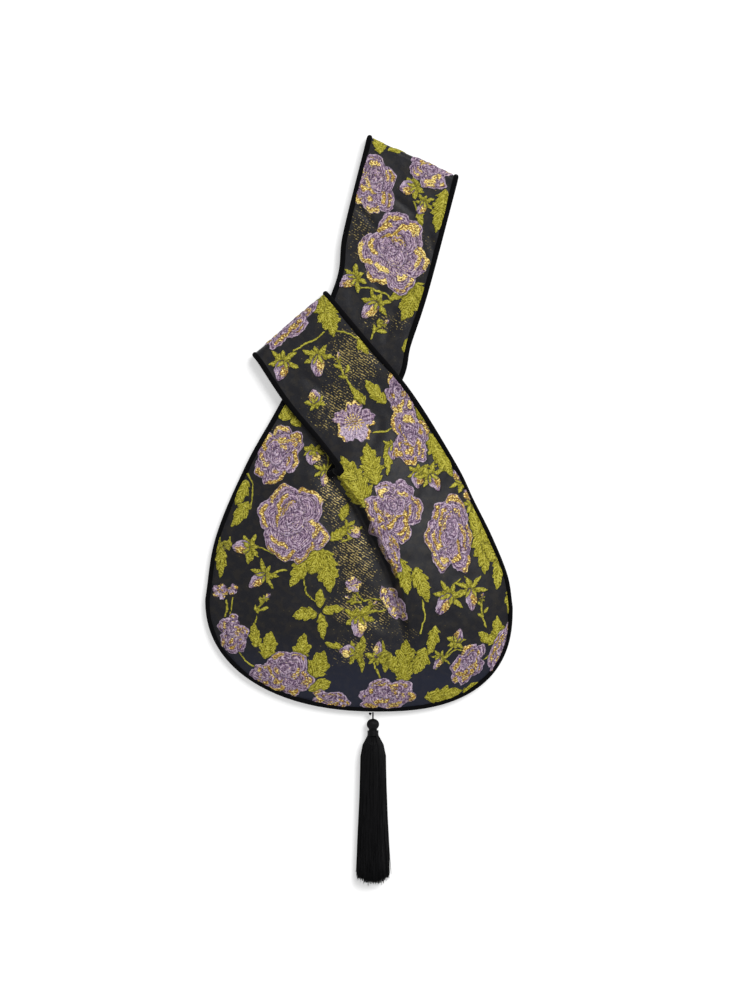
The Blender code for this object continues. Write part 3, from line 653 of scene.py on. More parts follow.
class Pattern:
    """What is woven at many places on the cloth, with painted shade and glint. Distances in millimetres are
    positive inside a motif.
    """

    def __init__(self, marks):
        self.x, self.y = marks[:, 0] * 1000, marks[:, 1] * 1000
        self.side = marks[:, 2].round()
        self.waver = []
        for seed in (11, 13):
            wide = soft_noise(self.x / 4.6, self.y / 4.6, seed)
            fine = soft_noise(self.x / 1.9, self.y / 1.9, seed + 1)
            self.waver.append(WAVER * (wide + 0.5 * fine - 0.75))
        count = len(marks)
        self.rose, self.leaf = np.full(count, FAR), np.full(count, FAR)
        self.ridge, self.rib = np.zeros(count), np.full(count, -FAR)
        self.gold, self.lurex, self.shade = np.zeros(count), np.zeros(count), np.zeros(count)

    def near(self, x, y, reach, turn, side):
        """The points near a motif, and their places along and across it, which waver as woven edges do."""
        close = (abs(self.x - x) < reach) & (abs(self.y - y) < reach)
        if side != BOTH:
            close &= self.side == side
        pick = np.nonzero(close)[0]
        dx, dy = self.x[pick] + self.waver[0][pick] - x, self.y[pick] + self.waver[1][pick] - y
        c, s = math.cos(math.radians(turn)), math.sin(math.radians(turn))
        return pick, dx * c + dy * s, dy * c - dx * s

    def lay(self, pick, inside, kind, ridge, gold=0.0, rib=-FAR, shadow=1.8):
        """Weaves a shape over what is there, with painted shade just outside its edge where it covers
        something.
        """
        mine, other = (self.rose, self.leaf) if kind == "rose" else (self.leaf, self.rose)
        # Painted shade: a dark band just outside the new shape, over what it covers
        beside = ease(1 + inside / shadow) * (inside < 0)
        self.shade[pick] = np.maximum(self.shade[pick] * (inside < 0), beside)
        mine[pick] = np.maximum(mine[pick], inside)
        other[pick] = np.minimum(other[pick], -inside)
        over = inside > 0
        where = pick[over]
        for values, new in ((self.ridge, ridge), (self.gold, gold), (self.rib, rib)):
            values[where] = np.broadcast_to(new, inside.shape)[over]

    def petal(self, pick, u, v, size, outward, gold, depth=2.4, spiral=0.0):
        """A petal or a heart with a scalloped rim and a gold crescent. u and v are in radii."""
        angle = np.arctan2(v, u)
        rim = 1 + SCALLOP * np.cos(5 * angle + 7 * outward) + 0.4 * SCALLOP * np.cos(9 * angle - 3 * outward)
        inside = (rim - np.hypot(u, v)) * size
        crescent = gold * ease(1.3 - abs(inside - depth) / 2.6) * ease(0.4 + np.cos(angle - outward - gold))
        coiled = inside + spiral * angle / (2 * math.pi)
        self.lay(pick, inside, "rose", coiled, np.maximum(crescent, SPRINKLE))


def moved(x, y, turn, distance):
    """A place moved by a distance in a direction in degrees."""
    way = math.radians(turn)
    return x + math.cos(way) * distance, y + math.sin(way) * distance


def weave_rose(cloth, x, y, wide, tall, turn, seed, side):
    """A full rose: two rings of scalloped petals round a coiled rosette above the middle."""
    dice = np.random.default_rng(seed)
    pick, a, b = cloth.near(x, y, 1.3 * max(wide, tall), turn, side)
    start = dice.uniform(0, 2 * math.pi)
    u, v = a / wide, b / tall
    u, v = u + 0.05 * np.sin(5 * v + start), v + 0.05 * np.sin(5 * u + 2 * start)
    size = math.sqrt(wide * tall)

    def petal(along, up, radius, *rest, **more):
        cloth.petal(pick, (u - along) / radius, (v - up) / radius, radius * size, *rest, **more)

    for ring, (count, away, radius) in enumerate(ROSE_RINGS):
        for k in dice.permutation(count):
            angle = start + ring + 2 * math.pi * (k + dice.uniform(-0.2, 0.2)) / count
            reach = radius * dice.uniform(0.85, 1.12)
            along, up = away * math.cos(angle), away * math.sin(angle) + 0.06 * ring
            gold = dice.uniform(0.6, 1.0) if dice.uniform() < ROSE_GOLD_SHARE[ring] else 0.0
            petal(along, up, reach, angle, gold, dice.uniform(1.2, 5.0))
    petal(0, 0.13, ROSETTE, start, 0.8, 1.2, spiral=2.0)
    for k in range(3):
        angle = start + 2 * math.pi * k / 3
        petal(0.17 * math.cos(angle), 0.13 + 0.17 * math.sin(angle), 0.25, angle, 0.6 * (k == 0), spiral=1.0)
    petal(0, 0.15, HEART, start, 0.0, spiral=2.0)


def weave_leaf(cloth, x, y, long, wide, turn, side, teeth=None):
    """A serrated, pointed leaf from its middle: half its length and width, and the direction of its tip."""
    teeth = teeth or max(2, round(long / 4.2))
    pick, a, b = cloth.near(x, y, 1.15 * long + 3, turn, side)
    t = clamp((a / long + 1) / 2)
    b = b - 0.14 * wide * math.sin(x + y) * np.sin(math.pi * t)
    swell = clamp(np.sin(math.pi * t**0.82)) ** 0.85
    tooth = np.mod(t * teeth + 0.4 * (b > 0), 1.0)
    nick = np.mod(t * teeth * 2.6 + 0.3, 1.0)
    edge = wide * swell * (0.66 + 0.46 * tooth + 0.12 * nick)
    inside = np.minimum(edge - abs(b), (1 - abs(a / long)) * long)
    cloth.lay(pick, inside, "leaf", 0.75 * a - 0.95 * abs(b), rib=abs(b) + 1.5 * ease(t - 0.7))


def weave_bud(cloth, x, y, long, wide, turn, side, sepal=1.0):
    """A closed bud with its star of sepals: half its length and width, and the direction of its tip."""
    foot = moved(x, y, turn, -0.85 * long)
    for lean, reach in ((-165, 0.55), (140, 0.75), (-115, 0.8), (84, 0.8), (-62, 0.75)):
        tip = long * reach * sepal
        weave_leaf(cloth, *moved(*foot, turn + lean, tip), tip, wide * 0.42, turn + lean, side, 2)
    pick, a, b = cloth.near(x, y, 1.3 * long, turn, side)
    pointed = np.hypot(a / long, b / wide * (1 + 0.35 * ease(a / long)))
    brown = ease((b / wide + 0.35) * 2) * ease(1.1 - abs(a / long)) * 0.9
    cloth.lay(pick, (1 - pointed) * wide, "rose", b * 1.1 + 3, np.maximum(brown, SPRINKLE), shadow=1.0)
    for lean in (-40, 44):
        place = moved(*foot, turn + lean, 0.42 * long)
        weave_leaf(cloth, *place, long * 0.48, wide * 0.26, turn + lean * 0.7, side, 2)


def weave_flower(cloth, x, y, radius, turn, side):
    """A small open flower of five notched petals with bright rims, and threads that run from its eye."""
    pick, a, b = cloth.near(x, y, 1.3 * radius, turn, side)
    angle, away = np.arctan2(b, a), np.hypot(a, b) / radius
    lobe = abs(np.cos(2.5 * angle)) ** 0.6
    inside = (0.68 + 0.32 * lobe + 0.05 * np.cos(16 * angle) - away) * radius
    edge = 0.95 * ease(1.3 - abs(inside - 1.0) / 1.6) * ease(0.55 + np.cos(3 * angle + x))
    rays = 0.8 * ease(np.cos(15 * angle) + 0.3) * ease(1.6 - 2.4 * away)
    gold = np.maximum(np.maximum(edge, rays), SPRINKLE)
    cloth.lay(pick, inside, "rose", 3 + 0.4 * radius * angle, gold, shadow=1.4)
    # Painted shade in the notches between the petals
    notch = 0.8 * ease(1 - 2.5 * lobe) * ease(2.4 * away - 0.4) * (inside > 0)
    cloth.shade[pick] = np.maximum(cloth.shade[pick], notch)


def weave_stem(cloth, points, width, side):
    """A stem through the points."""
    line = spline_through(points, 6)
    middle = line.mean(axis=0)
    reach = abs(line - middle).max() + 4
    pick, a, b = cloth.near(*middle, reach, 0, side)
    away = distance_to(line, np.column_stack([a, b]) + middle)[0]
    cloth.lay(pick, width / 2 - away, "leaf", a, rib=away)


def weave_sprig(cloth, x, y, long, turn, side, leaf):
    """A fine stem with small leaves up both sides and a tiny bud at its end."""
    middle = moved(*moved(x, y, turn, long / 2), turn + 90, 1.5)
    tip = moved(x, y, turn, long)
    weave_stem(cloth, [(x, y), middle, tip], SPRIG_STEM, side)
    for share, lean in ((0.35, 48), (0.5, -52), (0.72, 42)):
        place = moved(*moved(x, y, turn, long * share), turn + lean, leaf)
        weave_leaf(cloth, *place, leaf, leaf * 0.42, turn + lean, side, 2)
    weave_bud(cloth, *moved(*tip, turn - 18, leaf * 0.8), leaf * 0.75, leaf * 0.42, turn - 18, side, 0.8)


# A rose's rings of petals, from the outer one: petals, and their distance out and radius in rose radii
ROSE_RINGS = ((6, 0.60, 0.43), (6, 0.42, 0.36))
ROSE_GOLD_SHARE = (0.95, 0.9)
ROSETTE = 0.42
HEART = 0.13
# Gold scattered all over the roses, and how far woven edges waver in millimetres
SPRINKLE = 0.24
WAVER = 1.6
# The scallops of a petal's rim in radii, and the width of stems
SCALLOP = 0.05
STEM = 1.5
SPRIG_STEM = 1.7
# Puckers: height, width along and across, seed
PUCKERS = ((0.9, 19, 23, 3), (0.4, 6, 7, 5))
# How the back's cloth is turned and moved, in metres, and from where on as a handle
BACK_TURN_X = 0.012
BACK_TURN_Y = 0.46
BACK_SHIFT = 0.010
BACK_HANDLES_Y = 0.15
# Roses: place, half width, half height, turn, seed, side
ROSES = (
    (13, 277, 19, 28, 10, 1, LEFT), (61, 289, 20, 16, -24, 2, LEFT), (30, 218, 30, 34, 12, 3, LEFT),
    (-59, 160, 30, 14, 42, 4, RIGHT), (35, 99, 12, 20, 20, 5, RIGHT), (43, 61, 16, 24, 12, 6, RIGHT),
    (29, 0, 24, 28, 12, 7, RIGHT), (25, -30, 8, 27, 20, 17, RIGHT), (77, -22, 20, 35, 3, 8, RIGHT),
    (93, -130, 12, 20, -36, 9, RIGHT), (24, -156, 25, 14, 4, 10, BOTH), (121, -117, 8, 27, -22, 18, RIGHT),
    (-70, 47, 21, 27, -24, 11, LEFT), (-56, -11, 30, 33, 14, 12, LEFT), (-107, -104, 13, 17, 8, 13, LEFT),
    (-60, -138, 21, 20, -14, 14, LEFT), (-24, -162, 17, 9, -8, 15, BOTH), (-82, -141, 11, 9, -30, 16, LEFT),
    (29, -78, 8, 17, 32, 19, BOTH),
)
# Leaves: place, half length, half width, direction of the tip, side
LEAVES = (
    (17, 314, 11, 6, 100, LEFT), (34, 308, 10, 4, 15, LEFT), (69, 254, 19, 8, 258, LEFT),
    (43, 177, 17, 10, 250, LEFT), (34, 184, 10, 5, 215, LEFT), (54, 184, 11, 6, 300, LEFT),
    (40, 141, 7, 3, 70, LEFT), (52, 248, 10, 3, 268, LEFT), (-27, 166, 20, 10, 288, RIGHT),
    (-36, 176, 10, 7, 130, RIGHT), (4, 139, 8, 4, 310, RIGHT), (14, 101, 13, 6, 131, RIGHT),
    (-1, 98, 11, 4, 129, RIGHT), (-3, 24, 25, 13, 118, RIGHT), (11, 40, 19, 9, 104, RIGHT),
    (-12, 33, 12, 6, 150, RIGHT), (25, 44, 15, 4, 268, RIGHT), (69, 47, 22, 8, 300, RIGHT),
    (54, 79, 11, 5, 300, RIGHT), (104, -27, 28, 10, 276, RIGHT), (98, -6, 14, 6, 100, RIGHT),
    (112, -36, 12, 5, 310, RIGHT), (38, -56, 16, 7, 282, RIGHT), (118, -53, 14, 5, 266, RIGHT),
    (122, -42, 8, 4, 300, RIGHT), (53, -63, 16, 7, 290, RIGHT), (129, -76, 12, 5, 262, RIGHT),
    (118, -102, 13, 6, 96, RIGHT), (109, -108, 9, 5, 150, RIGHT), (62, -110, 13, 5, 258, RIGHT),
    (38, -128, 20, 10, 84, BOTH), (52, -127, 12, 7, 250, BOTH), (28, -128, 11, 5, 118, BOTH),
    (72, -156, 17, 7, 12, BOTH), (96, -152, 9, 5, 40, BOTH), (21, -124, 14, 3.5, 95, BOTH),
    (-60, 88, 13, 8, 70, LEFT), (-50, 76, 9, 5, 10, LEFT), (-100, 15, 12, 6, 246, LEFT),
    (-101, -3, 13, 6, 236, LEFT), (-118, -43, 15, 5, 268, LEFT), (-122, -30, 9, 4, 250, LEFT),
    (-93, -36, 10, 4, 262, LEFT), (-47, -49, 19, 8, 235, LEFT), (-26, -51, 18, 10, 276, LEFT),
    (-37, -42, 13, 9, 255, LEFT), (-16, -20, 10, 5, 30, LEFT), (-12, -1, 8, 4, 70, LEFT),
    (-33, -74, 9, 4, 88, LEFT), (-22, -84, 9, 4, 8, LEFT), (-31, -98, 12, 4, 276, LEFT),
    (-46, -88, 11, 6, 186, LEFT), (-88, -105, 11, 5, 100, LEFT), (-77, -114, 12, 8, 76, LEFT),
    (-49, -116, 13, 7, 78, LEFT), (-35, -130, 13, 9, 66, LEFT), (-33, -149, 10, 7, 20, BOTH),
    (2, -128, 10, 3, 280, BOTH), (3, -113, 10, 3, 84, BOTH), (-21, -114, 9, 3, 165, BOTH),
)
# Buds: place, half length, half width, direction of the tip, side
BUDS = (
    (-10, 195, 8, 6, 200, LEFT), (9, 171, 9, 6, 225, LEFT), (41, 274, 7, 6, 190, LEFT),
    (53, 257, 6, 4, 240, LEFT), (-66, 119, 9, 6, 255, RIGHT), (-35, 123, 9, 6, 272, RIGHT),
    (-38, 97, 6, 5, 100, RIGHT), (29, 49, 6, 4, 270, RIGHT), (50, 26, 7, 5, 262, RIGHT),
    (64, 24, 8, 5, 300, RIGHT), (84, 29, 7, 4, 120, RIGHT), (93, 13, 7, 4, 112, RIGHT),
    (72, -79, 10, 6, 235, RIGHT), (95, -75, 10, 5, 272, RIGHT), (84, -106, 6, 4, 70, RIGHT),
    (67, -129, 6, 3, 238, BOTH), (-39, 45, 6, 6, 268, LEFT), (-29, 27, 7, 4, 265, LEFT),
    (-4, -18, 6, 5, 330, LEFT), (-100, -31, 8, 6, 176, LEFT), (-86, -59, 9, 5, 218, LEFT),
    (0, -98, 9, 7, 268, LEFT), (-10, -119, 7, 6, 168, BOTH), (16, -118, 7, 4, 80, BOTH),
)
FLOWERS = (
    (-4, 75, 18, 20, RIGHT), (-5, -63, 7, 10, LEFT), (-118, -69, 7, 0, LEFT), (-107, -67, 5, 30, LEFT),
)
SPRIGS = (
    (10, 146, 16, 50, LEFT, 4.6), (-5, 104, 27, 118, RIGHT, 4.2), (107, -99, 24, 97, RIGHT, 3.6),
    (-88, -94, 21, 66, LEFT, 4.2), (62, 206, 14, 290, LEFT, 4.5), (-110, -22, 9, 250, LEFT, 3.6),
    (2, -78, 10, 160, LEFT, 3.4), (6, -90, 12, 60, LEFT, 3.4),
)
STEMS = (
    (((-56, 135), (-46, 141), (-36, 146), (-30, 151)), RIGHT), (((-20, 152), (-8, 150), (4, 143)), RIGHT),
    (((0, 190), (14, 188), (28, 180)), LEFT), (((46, 262), (50, 252), (53, 242)), LEFT),
    (((12, 66), (22, 67), (32, 72)), RIGHT), (((44, 34), (54, 36), (66, 38)), RIGHT),
    (((53, -76), (55, -90), (52, -104)), RIGHT), (((86, -58), (80, -62), (78, -66)), RIGHT),
    (((90, -56), (95, -60), (96, -66)), RIGHT), (((100, -34), (108, -40), (116, -44)), RIGHT),
    (((-28, 34), (-26, 44), (-30, 54)), LEFT), (((-90, -30), (-78, -34), (-70, -38)), LEFT),
    (((-78, -54), (-70, -52), (-60, -50)), LEFT), (((-14, -26), (-4, -22), (2, -14)), LEFT),
    (((-46, -58), (-44, -70), (-36, -78)), LEFT), (((-2, -70), (4, -76), (12, -74), (20, -76)), LEFT),
    (((2, -88), (10, -86), (22, -84)), LEFT), (((66, -134), (74, -122), (82, -112)), BOTH),
    (((-96, 34), (-90, 20), (-92, 2)), LEFT), (((-113, -76), (-112, -84), (-113, -90)), LEFT),
    (((-107, -74), (-108, -82), (-110, -90)), LEFT), (((-102, -120), (-96, -128), (-88, -134)), LEFT),
    (((6, -122), (14, -132), (18, -144)), BOTH), (((76, -122), (84, -118), (90, -122)), BOTH),
    (((102, -128), (110, -124), (116, -122)), RIGHT),
)
# Creases: start, end, depth and half width, side
CREASES = (
    ((27, 268), (50, 250), 1.1, 3.0, LEFT), ((-4, 262), (18, 236), 0.8, 3.0, LEFT),
    ((60, 238), (66, 205), 0.8, 3.0, LEFT), ((34, 172), (20, 142), 1.1, 3.5, LEFT),
    ((50, 176), (40, 140), 1.0, 3.0, LEFT), ((4, 210), (22, 182), 0.9, 3.5, LEFT),
    ((-2, 152), (24, 118), 0.9, 3.5, RIGHT), ((-50, 118), (-20, 92), 0.8, 4.0, RIGHT),
    ((20, 80), (6, 40), 0.9, 5.0, RIGHT), ((58, 30), (40, -30), 0.9, 7.0, RIGHT),
    ((-60, 20), (-20, -10), 0.8, 8.0, LEFT), ((-10, -60), (30, -110), 0.9, 7.0, LEFT),
)
# Where a gold thread shows in the ground, and where a glint is painted on the gold of some roses and a
# flower: place, half width, half height, turn, strength, side
LUREX_AND_GLINT = (
    (-2, 132, 34, 40, -40, 1.0, RIGHT), (-20, 90, 26, 34, -30, 0.9, RIGHT),
    (2, 240, 14, 34, -12, 0.75, LEFT), (54, 226, 12, 30, 14, 0.6, LEFT), (26, 160, 34, 12, 0, 0.7, LEFT),
    (-22, 10, 18, 40, 14, 0.9, LEFT), (-4, -40, 26, 40, 10, 1.0, LEFT), (4, -84, 40, 26, -8, 1.0, BOTH),
    (-30, 46, 14, 22, 0, 0.7, LEFT), (-2, -118, 34, 16, 0, 0.8, BOTH), (40, -104, 16, 18, 20, 0.5, BOTH),
    (26, 14, 15, 11, 0, 0.9, RIGHT), (32, 204, 28, 14, -8, 1.0, LEFT), (12, 284, 14, 16, 10, 0.8, LEFT),
    (64, 282, 16, 12, -24, 0.6, LEFT), (-4, 75, 18, 18, 0, 0.4, RIGHT), (42, 84, 14, 12, 0, 0.7, RIGHT),
    (-72, 62, 14, 12, 0, 0.6, LEFT), (-44, -12, 10, 16, 0, 0.5, LEFT), (72, -38, 12, 12, 0, 0.5, RIGHT),
)


def weave(marks):
    """The whole pattern, with what lies on top woven last."""
    cloth = Pattern(marks)
    # Gold thread in the ground; over roses and a flower these ellipses also paint a glint on the gold
    for x, y, wide, tall, turn, strength, side in LUREX_AND_GLINT:
        pick, a, b = cloth.near(x, y, 1.2 * max(wide, tall), turn, side)
        shown = strength * ease(1.25 - np.hypot(a / wide, b / tall))
        cloth.lurex[pick] = np.maximum(cloth.lurex[pick], shown)
    for points, side in STEMS:
        weave_stem(cloth, points, STEM, side)
    for motif, places in (
        (weave_sprig, SPRIGS), (weave_leaf, LEAVES), (weave_bud, BUDS), (weave_flower, FLOWERS),
        (weave_rose, ROSES),
    ):
        for values in places:
            motif(cloth, *values)
    return cloth


def back_marks(marks):
    """The back is cut from another part of the same cloth: the pattern is turned round and moved along."""
    back = marks.copy()
    back[:, 0] = BACK_TURN_X - marks[:, 0]
    back[:, 1] = np.where(marks[:, 1] > BACK_HANDLES_Y, BACK_TURN_Y - marks[:, 1], marks[:, 1] - BACK_SHIFT)
    back[:, 2] = np.where(back[:, 0] > 0.0, 1, 0)
    return back


def raise_pattern(mesh, marks, sunk=False):
    """Keeps the pattern on the mesh's points and raises the motifs as the weave does."""
    cloth = weave(marks)
    for name in PATTERN_FIELDS:
        keep_numbers(mesh, name, getattr(cloth, name))
    mesh.attributes["marks"].data.foreach_set("vector", marks.ravel())
    petals = ease(cloth.ridge / 3.5) * (1 - 0.6 * cloth.shade)
    relief = ease((cloth.rose + 0.3) / 1.2) * (0.35 + 0.60 * petals) + 0.45 * ease((cloth.leaf + 0.3) / 1.2)
    puckers = sum(
        rise * soft_noise(cloth.x / wide, cloth.y / tall, seed) for rise, wide, tall, seed in PUCKERS
    )
    relief = relief + puckers - 1.05
    points = np.column_stack([cloth.x, cloth.y])
    for start, end, depth, spread, side in CREASES:
        away, share = distance_to(np.array((start, end)), points)
        dent = depth * np.exp(-((away / spread) ** 2)) * np.sin(math.pi * share)
        relief = relief - dent * (cloth.side == side)
    if sunk:
        relief = relief - relief.max()
    places = read_points(mesh)
    write_points(mesh, places + read_points(mesh, "normal") * column(relief * 0.001))


def shaped_grid(name, columns, rows, place, fill=False):
    """A grid laid along place(u, v) and sewn where its edges meet, with its holes filled if asked."""
    bm = bmesh.new()
    bmesh.ops.create_grid(bm, x_segments=columns, y_segments=rows, size=0.5)
    mesh = bpy.data.meshes.new(name)
    bm.to_mesh(mesh)
    flat = read_points(mesh)
    mesh.vertices.foreach_set("co", place(flat[:, 0] + 0.5, flat[:, 1] + 0.5).ravel())
    bm.clear()
    bm.from_mesh(mesh)
    bmesh.ops.remove_doubles(bm, verts=bm.verts, dist=1e-6)
    if fill:
        bmesh.ops.holes_fill(bm, edges=[edge for edge in bm.edges if edge.is_boundary], sides=0)
    bmesh.ops.recalc_face_normals(bm, faces=bm.faces)
    bm.to_mesh(mesh)
    bm.free()
    return mesh


def frames_along(path, closed):
    """Two directions across a path at each of its points, which turn no more than they must."""
    ahead = np.roll(path, -1, axis=0) - np.roll(path, 1, axis=0)
    if not closed:
        ahead[0], ahead[-1] = path[1] - path[0], path[-1] - path[-2]
    ahead = ahead / column(np.linalg.norm(ahead, axis=1))
    first = np.cross(ahead[0], (0.0, 0.0, 1.0))
    across = [first / np.linalg.norm(first)]
    for way in ahead[1:]:
        turned = across[-1] - way * (across[-1] @ way)
        across.append(turned / np.linalg.norm(turned))
    across = np.array(across)
    if closed:
        left = np.cross(ahead[0], across[0])
        last = across[-1] - ahead[0] * (across[-1] @ ahead[0])
        twist = math.atan2(last @ left, last @ across[0])
        turn = column(-twist * np.arange(len(path)) / len(path))
        across = across * np.cos(turn) + np.cross(ahead, across) * np.sin(turn)
    return across, np.cross(ahead, across)


def tube(name, path, radius, sides, closed=False, swell=None, press=1.0):
    """A cord along a path. swell(angle, share) changes its radius, and press flattens it."""
    across, up = frames_along(path, closed)
    if closed:
        path, across, up = (np.vstack([line, line[:1]]) for line in (path, across, up))
    last = len(path) - 1

    def place(u, v):
        row = (v * last).round().astype(int)
        angle = 2 * math.pi * u
        reach = radius if swell is None else radius * swell(angle, v)
        away = across[row] * column(np.cos(angle) * reach) + up[row] * column(np.sin(angle) * reach)
        return path[row] + away * (1, 1, press)

    return shaped_grid(name, sides, last, place, fill=not closed)


def smooth_path(points, spacing, closed=False):
    """Evenly spaced points on a smooth line through a few."""
    if closed:
        points = np.vstack([points[-1:], points, points[:2]])
        line = spline_through(points, 12)[12:-12]
    else:
        line = spline_through(points, 12)
    length = lengths_along(line)[-1]
    line = spaced(line, max(3, round(length / spacing)) + 1)
    return line[:-1] if closed else line


def side_track(arm, edge, inward):
    """Piping centres up one side of an arm and over its bend. edge is 0 or 1, the side's u."""
    count = round(arm.length / PIPING_STRIDE) + 1
    distance = np.linspace(0, arm.length, count)
    rim = arm.place(np.full(count, float(edge)), distance)[0]
    inner = arm.place(np.full(count, abs(edge - INNER_SHARE)), distance)[0]
    along = np.gradient(rim, axis=0)
    along = along / column(np.linalg.norm(along, axis=1))
    out = (rim - inner) * (1, 1, 0)
    out = out - along * column((out * along).sum(axis=1))
    out = out / column(np.linalg.norm(out, axis=1))
    normal = np.cross(out, along) * (1 if edge else -1)
    return rim - normal * inward * WALL / 2 + out * (CLOTH_INSET - HANDLE_PILE)


def neck_turn(side, inward):
    """Piping centres round the bottom of the neckline."""
    strip = body_strip(FOLD_PLAN, side + "_low", side + "_high")
    points = strip(np.array((0.35, 0.5, 0.65)), np.ones(3))[0]
    return points + (0, NECK_STANDOFF, -inward * WALL / 2)


def neck_path():
    """One ring round the mouth: up and back along the inner edge of each handle."""
    front_short, back_short = side_track(ARMS["front_short"], 0, 1), side_track(ARMS["back_short"], 0, -1)
    front_long, back_long = side_track(ARMS["front_long"], 1, 1), side_track(ARMS["back_long"], 1, -1)
    points = [
        neck_turn("front", 1),
        front_short[1:],
        back_short[1:-1][::-1],
        neck_turn("back", -1)[::-1],
        back_long[1:-1],
        front_long[1:][::-1],
    ]
    return smooth_path(np.vstack(points), PIPING_SPACING, closed=True)


def armhole_path(front, back, edge):
    """Round one handle's outer edge: up the front, over the bend and down the back to where they meet."""
    up, down = side_track(ARMS[front], edge, 1), side_track(ARMS[back], edge, -1)
    half = up[: len(up) // 2]
    clear = [p for p in down[:-1] if np.linalg.norm(half - p, axis=1).min() > PIPING_STEP]
    return smooth_path(np.vstack([up, clear[::-1]]), PIPING_SPACING)


def seam_path():
    """Round the body from one underarm to the other. Its ends run into the handles' pipings."""
    overlap = 0.0008 / lengths_along(OUTER)[-1]
    line = cut_line(inset(OUTER, -PILE), LEFT_WAIST - overlap, RIGHT_WAIST + overlap, 360)
    return join(line, np.full(len(line), SEAM_HEIGHT))


def make_pipings():
    look = velvet()
    paths = {
        "neck_piping": (neck_path(), HANDLE_PILE),
        "seam_piping": (seam_path(), PILE),
        "long_handle_piping": (armhole_path("front_long", "back_long", 0), HANDLE_PILE),
        "short_handle_piping": (armhole_path("front_short", "back_short", 1), HANDLE_PILE),
    }
    for name, (path, pile) in paths.items():
        radius = PIPING_RADIUS + pile
        from_crotch = np.linalg.norm(path[:, :2] - CROTCH, axis=1)
        thicker = 1 + GATHERING * np.exp(-((from_crotch / GATHERING_SPREAD) ** 2))
        gathered = lambda _, share, row=thicker: row[(share * (len(row) - 1)).round().astype(int)]
        press = (PIPING_RADIUS + PILE) / radius
        mesh = tube(name, path, radius, 16, name == "neck_piping", gathered, press)
        places = read_points(mesh)
        places[:, 2] = np.maximum(places[:, 2], FLOOR_CLEARANCE)
        write_points(mesh, places)
        piece("velvet_" + name, mesh, look, [name])


def make_brocade():
    look = brocade()
    front = strips_mesh("brocade_front_body", panel_strips("front", FRONT_CELL, whole=False))
    raise_pattern(front, read_points(front, "marks"))
    body = piece("brocade_front_body", front, look, ["brocade_front"])
    arm = arm_rows(ARMS["front_long"], HANDLE_CELL, PARTING)
    handle = strips_mesh("brocade_front_handle", [(round(HANDLE_WIDTH / HANDLE_CELL), *arm, 0)])
    raise_pattern(handle, read_points(handle, "marks"))
    long_handle = piece("brocade_front_handle", handle, look)
    back = strips_mesh("brocade_back_panel", panel_strips("back", BACK_CELL), faces_down=True)
    raise_pattern(back, back_marks(read_points(back, "marks")), sunk=True)
    back_panel = piece("brocade_back_panel", back, look, ["brocade_back"])


def make_linings():
    look = satin()
    for side, down in (("front", False), ("back", True)):
        mesh = strips_mesh("lining", panel_strips(side, LINING_CELL), faces_down=down)
        write_points(mesh, read_points(mesh) - read_points(mesh, "normal") * (WALL - LINING))
        sheet = piece("satin_lining_" + side, mesh, look, ["lining_" + side])
        wall = sheet.modifiers.new("thickness", "SOLIDIFY")
        wall.thickness = LINING
        wall.offset = -1


def tassel_profile(along):
    """Half width and half thickness of the thread bundle at distances from the head's top."""
    head, neck = HEAD_DIAMETER / 2, BINDING_DIAMETER / 2 - NECK_INSET
    swell = np.sqrt(clamp(1 - (2 * along / HEAD_LENGTH - 1) ** 2)) * head
    upper = np.maximum(swell, np.where(along > HEAD_LENGTH / 2, neck, HEAD_TIP_RADIUS))
    down = (along - HEAD_LENGTH - BINDING_LENGTH) / SKIRT_LENGTH
    shoulder = np.sin(math.pi / 2 * clamp(down / SKIRT_SHOULDER)) ** 0.8
    flare = clamp((down - SKIRT_SHOULDER) / (1 - SKIRT_SHOULDER)) ** 1.3
    wide = mix(SKIRT_SHOULDER_WIDTH, SKIRT_END_WIDTH, flare) / 2
    skirt = along > HEAD_LENGTH + BINDING_LENGTH
    return (
        np.where(skirt, mix(neck, wide, shoulder), upper),
        np.where(skirt, mix(neck, SKIRT_THICKNESS / 2, shoulder), upper),
    )


def make_tassel():
    thread = silk()
    total = HEAD_LENGTH + BINDING_LENGTH + SKIRT_LENGTH

    def bundle(u, v):
        along = total * CORE_SHARE * (v * 0.55 + 0.45 * v * v)
        angle = 2 * math.pi * u
        wide, thick = tassel_profile(along)
        groove = 1 - GROOVE_DEPTH * abs(np.sin(THREADS_ROUND_HEAD / 2 * angle)) * ease(along / GROOVE_START)
        inner = np.where(along > HEAD_LENGTH + BINDING_LENGTH, CORE_WIDTH, 1.0) * groove
        return np.column_stack([
            TASSEL_X + wide * inner * np.cos(angle),
            HEAD_TOP_Y - along,
            SEAM_HEIGHT + thick * inner * np.sin(angle),
        ])

    core = shaped_grid("bundle", THREADS_ROUND_HEAD * 4, 90, bundle, fill=True)
    piece("silk_tassel_head", core, thread, ["tassel_threads"], "tassel")
    piece("silk_tassel_strands", strands_mesh(), thread, body="tassel")
    turns = np.linspace(0, 1, 5 * 48)
    angle = 2 * math.pi * BINDING_TURNS * turns
    wound = BINDING_DIAMETER / 2 - BINDING_INSET
    helix = np.column_stack([
        TASSEL_X + wound * np.cos(angle),
        HEAD_TOP_Y - HEAD_LENGTH - BINDING_START - BINDING_RUN * turns,
        SEAM_HEIGHT + wound * np.sin(angle),
    ])
    binding = tube("binding", helix, BINDING_THREAD / 2, 8)
    piece("silk_tassel_binding", binding, thread, ["tassel_binding"], "tassel")


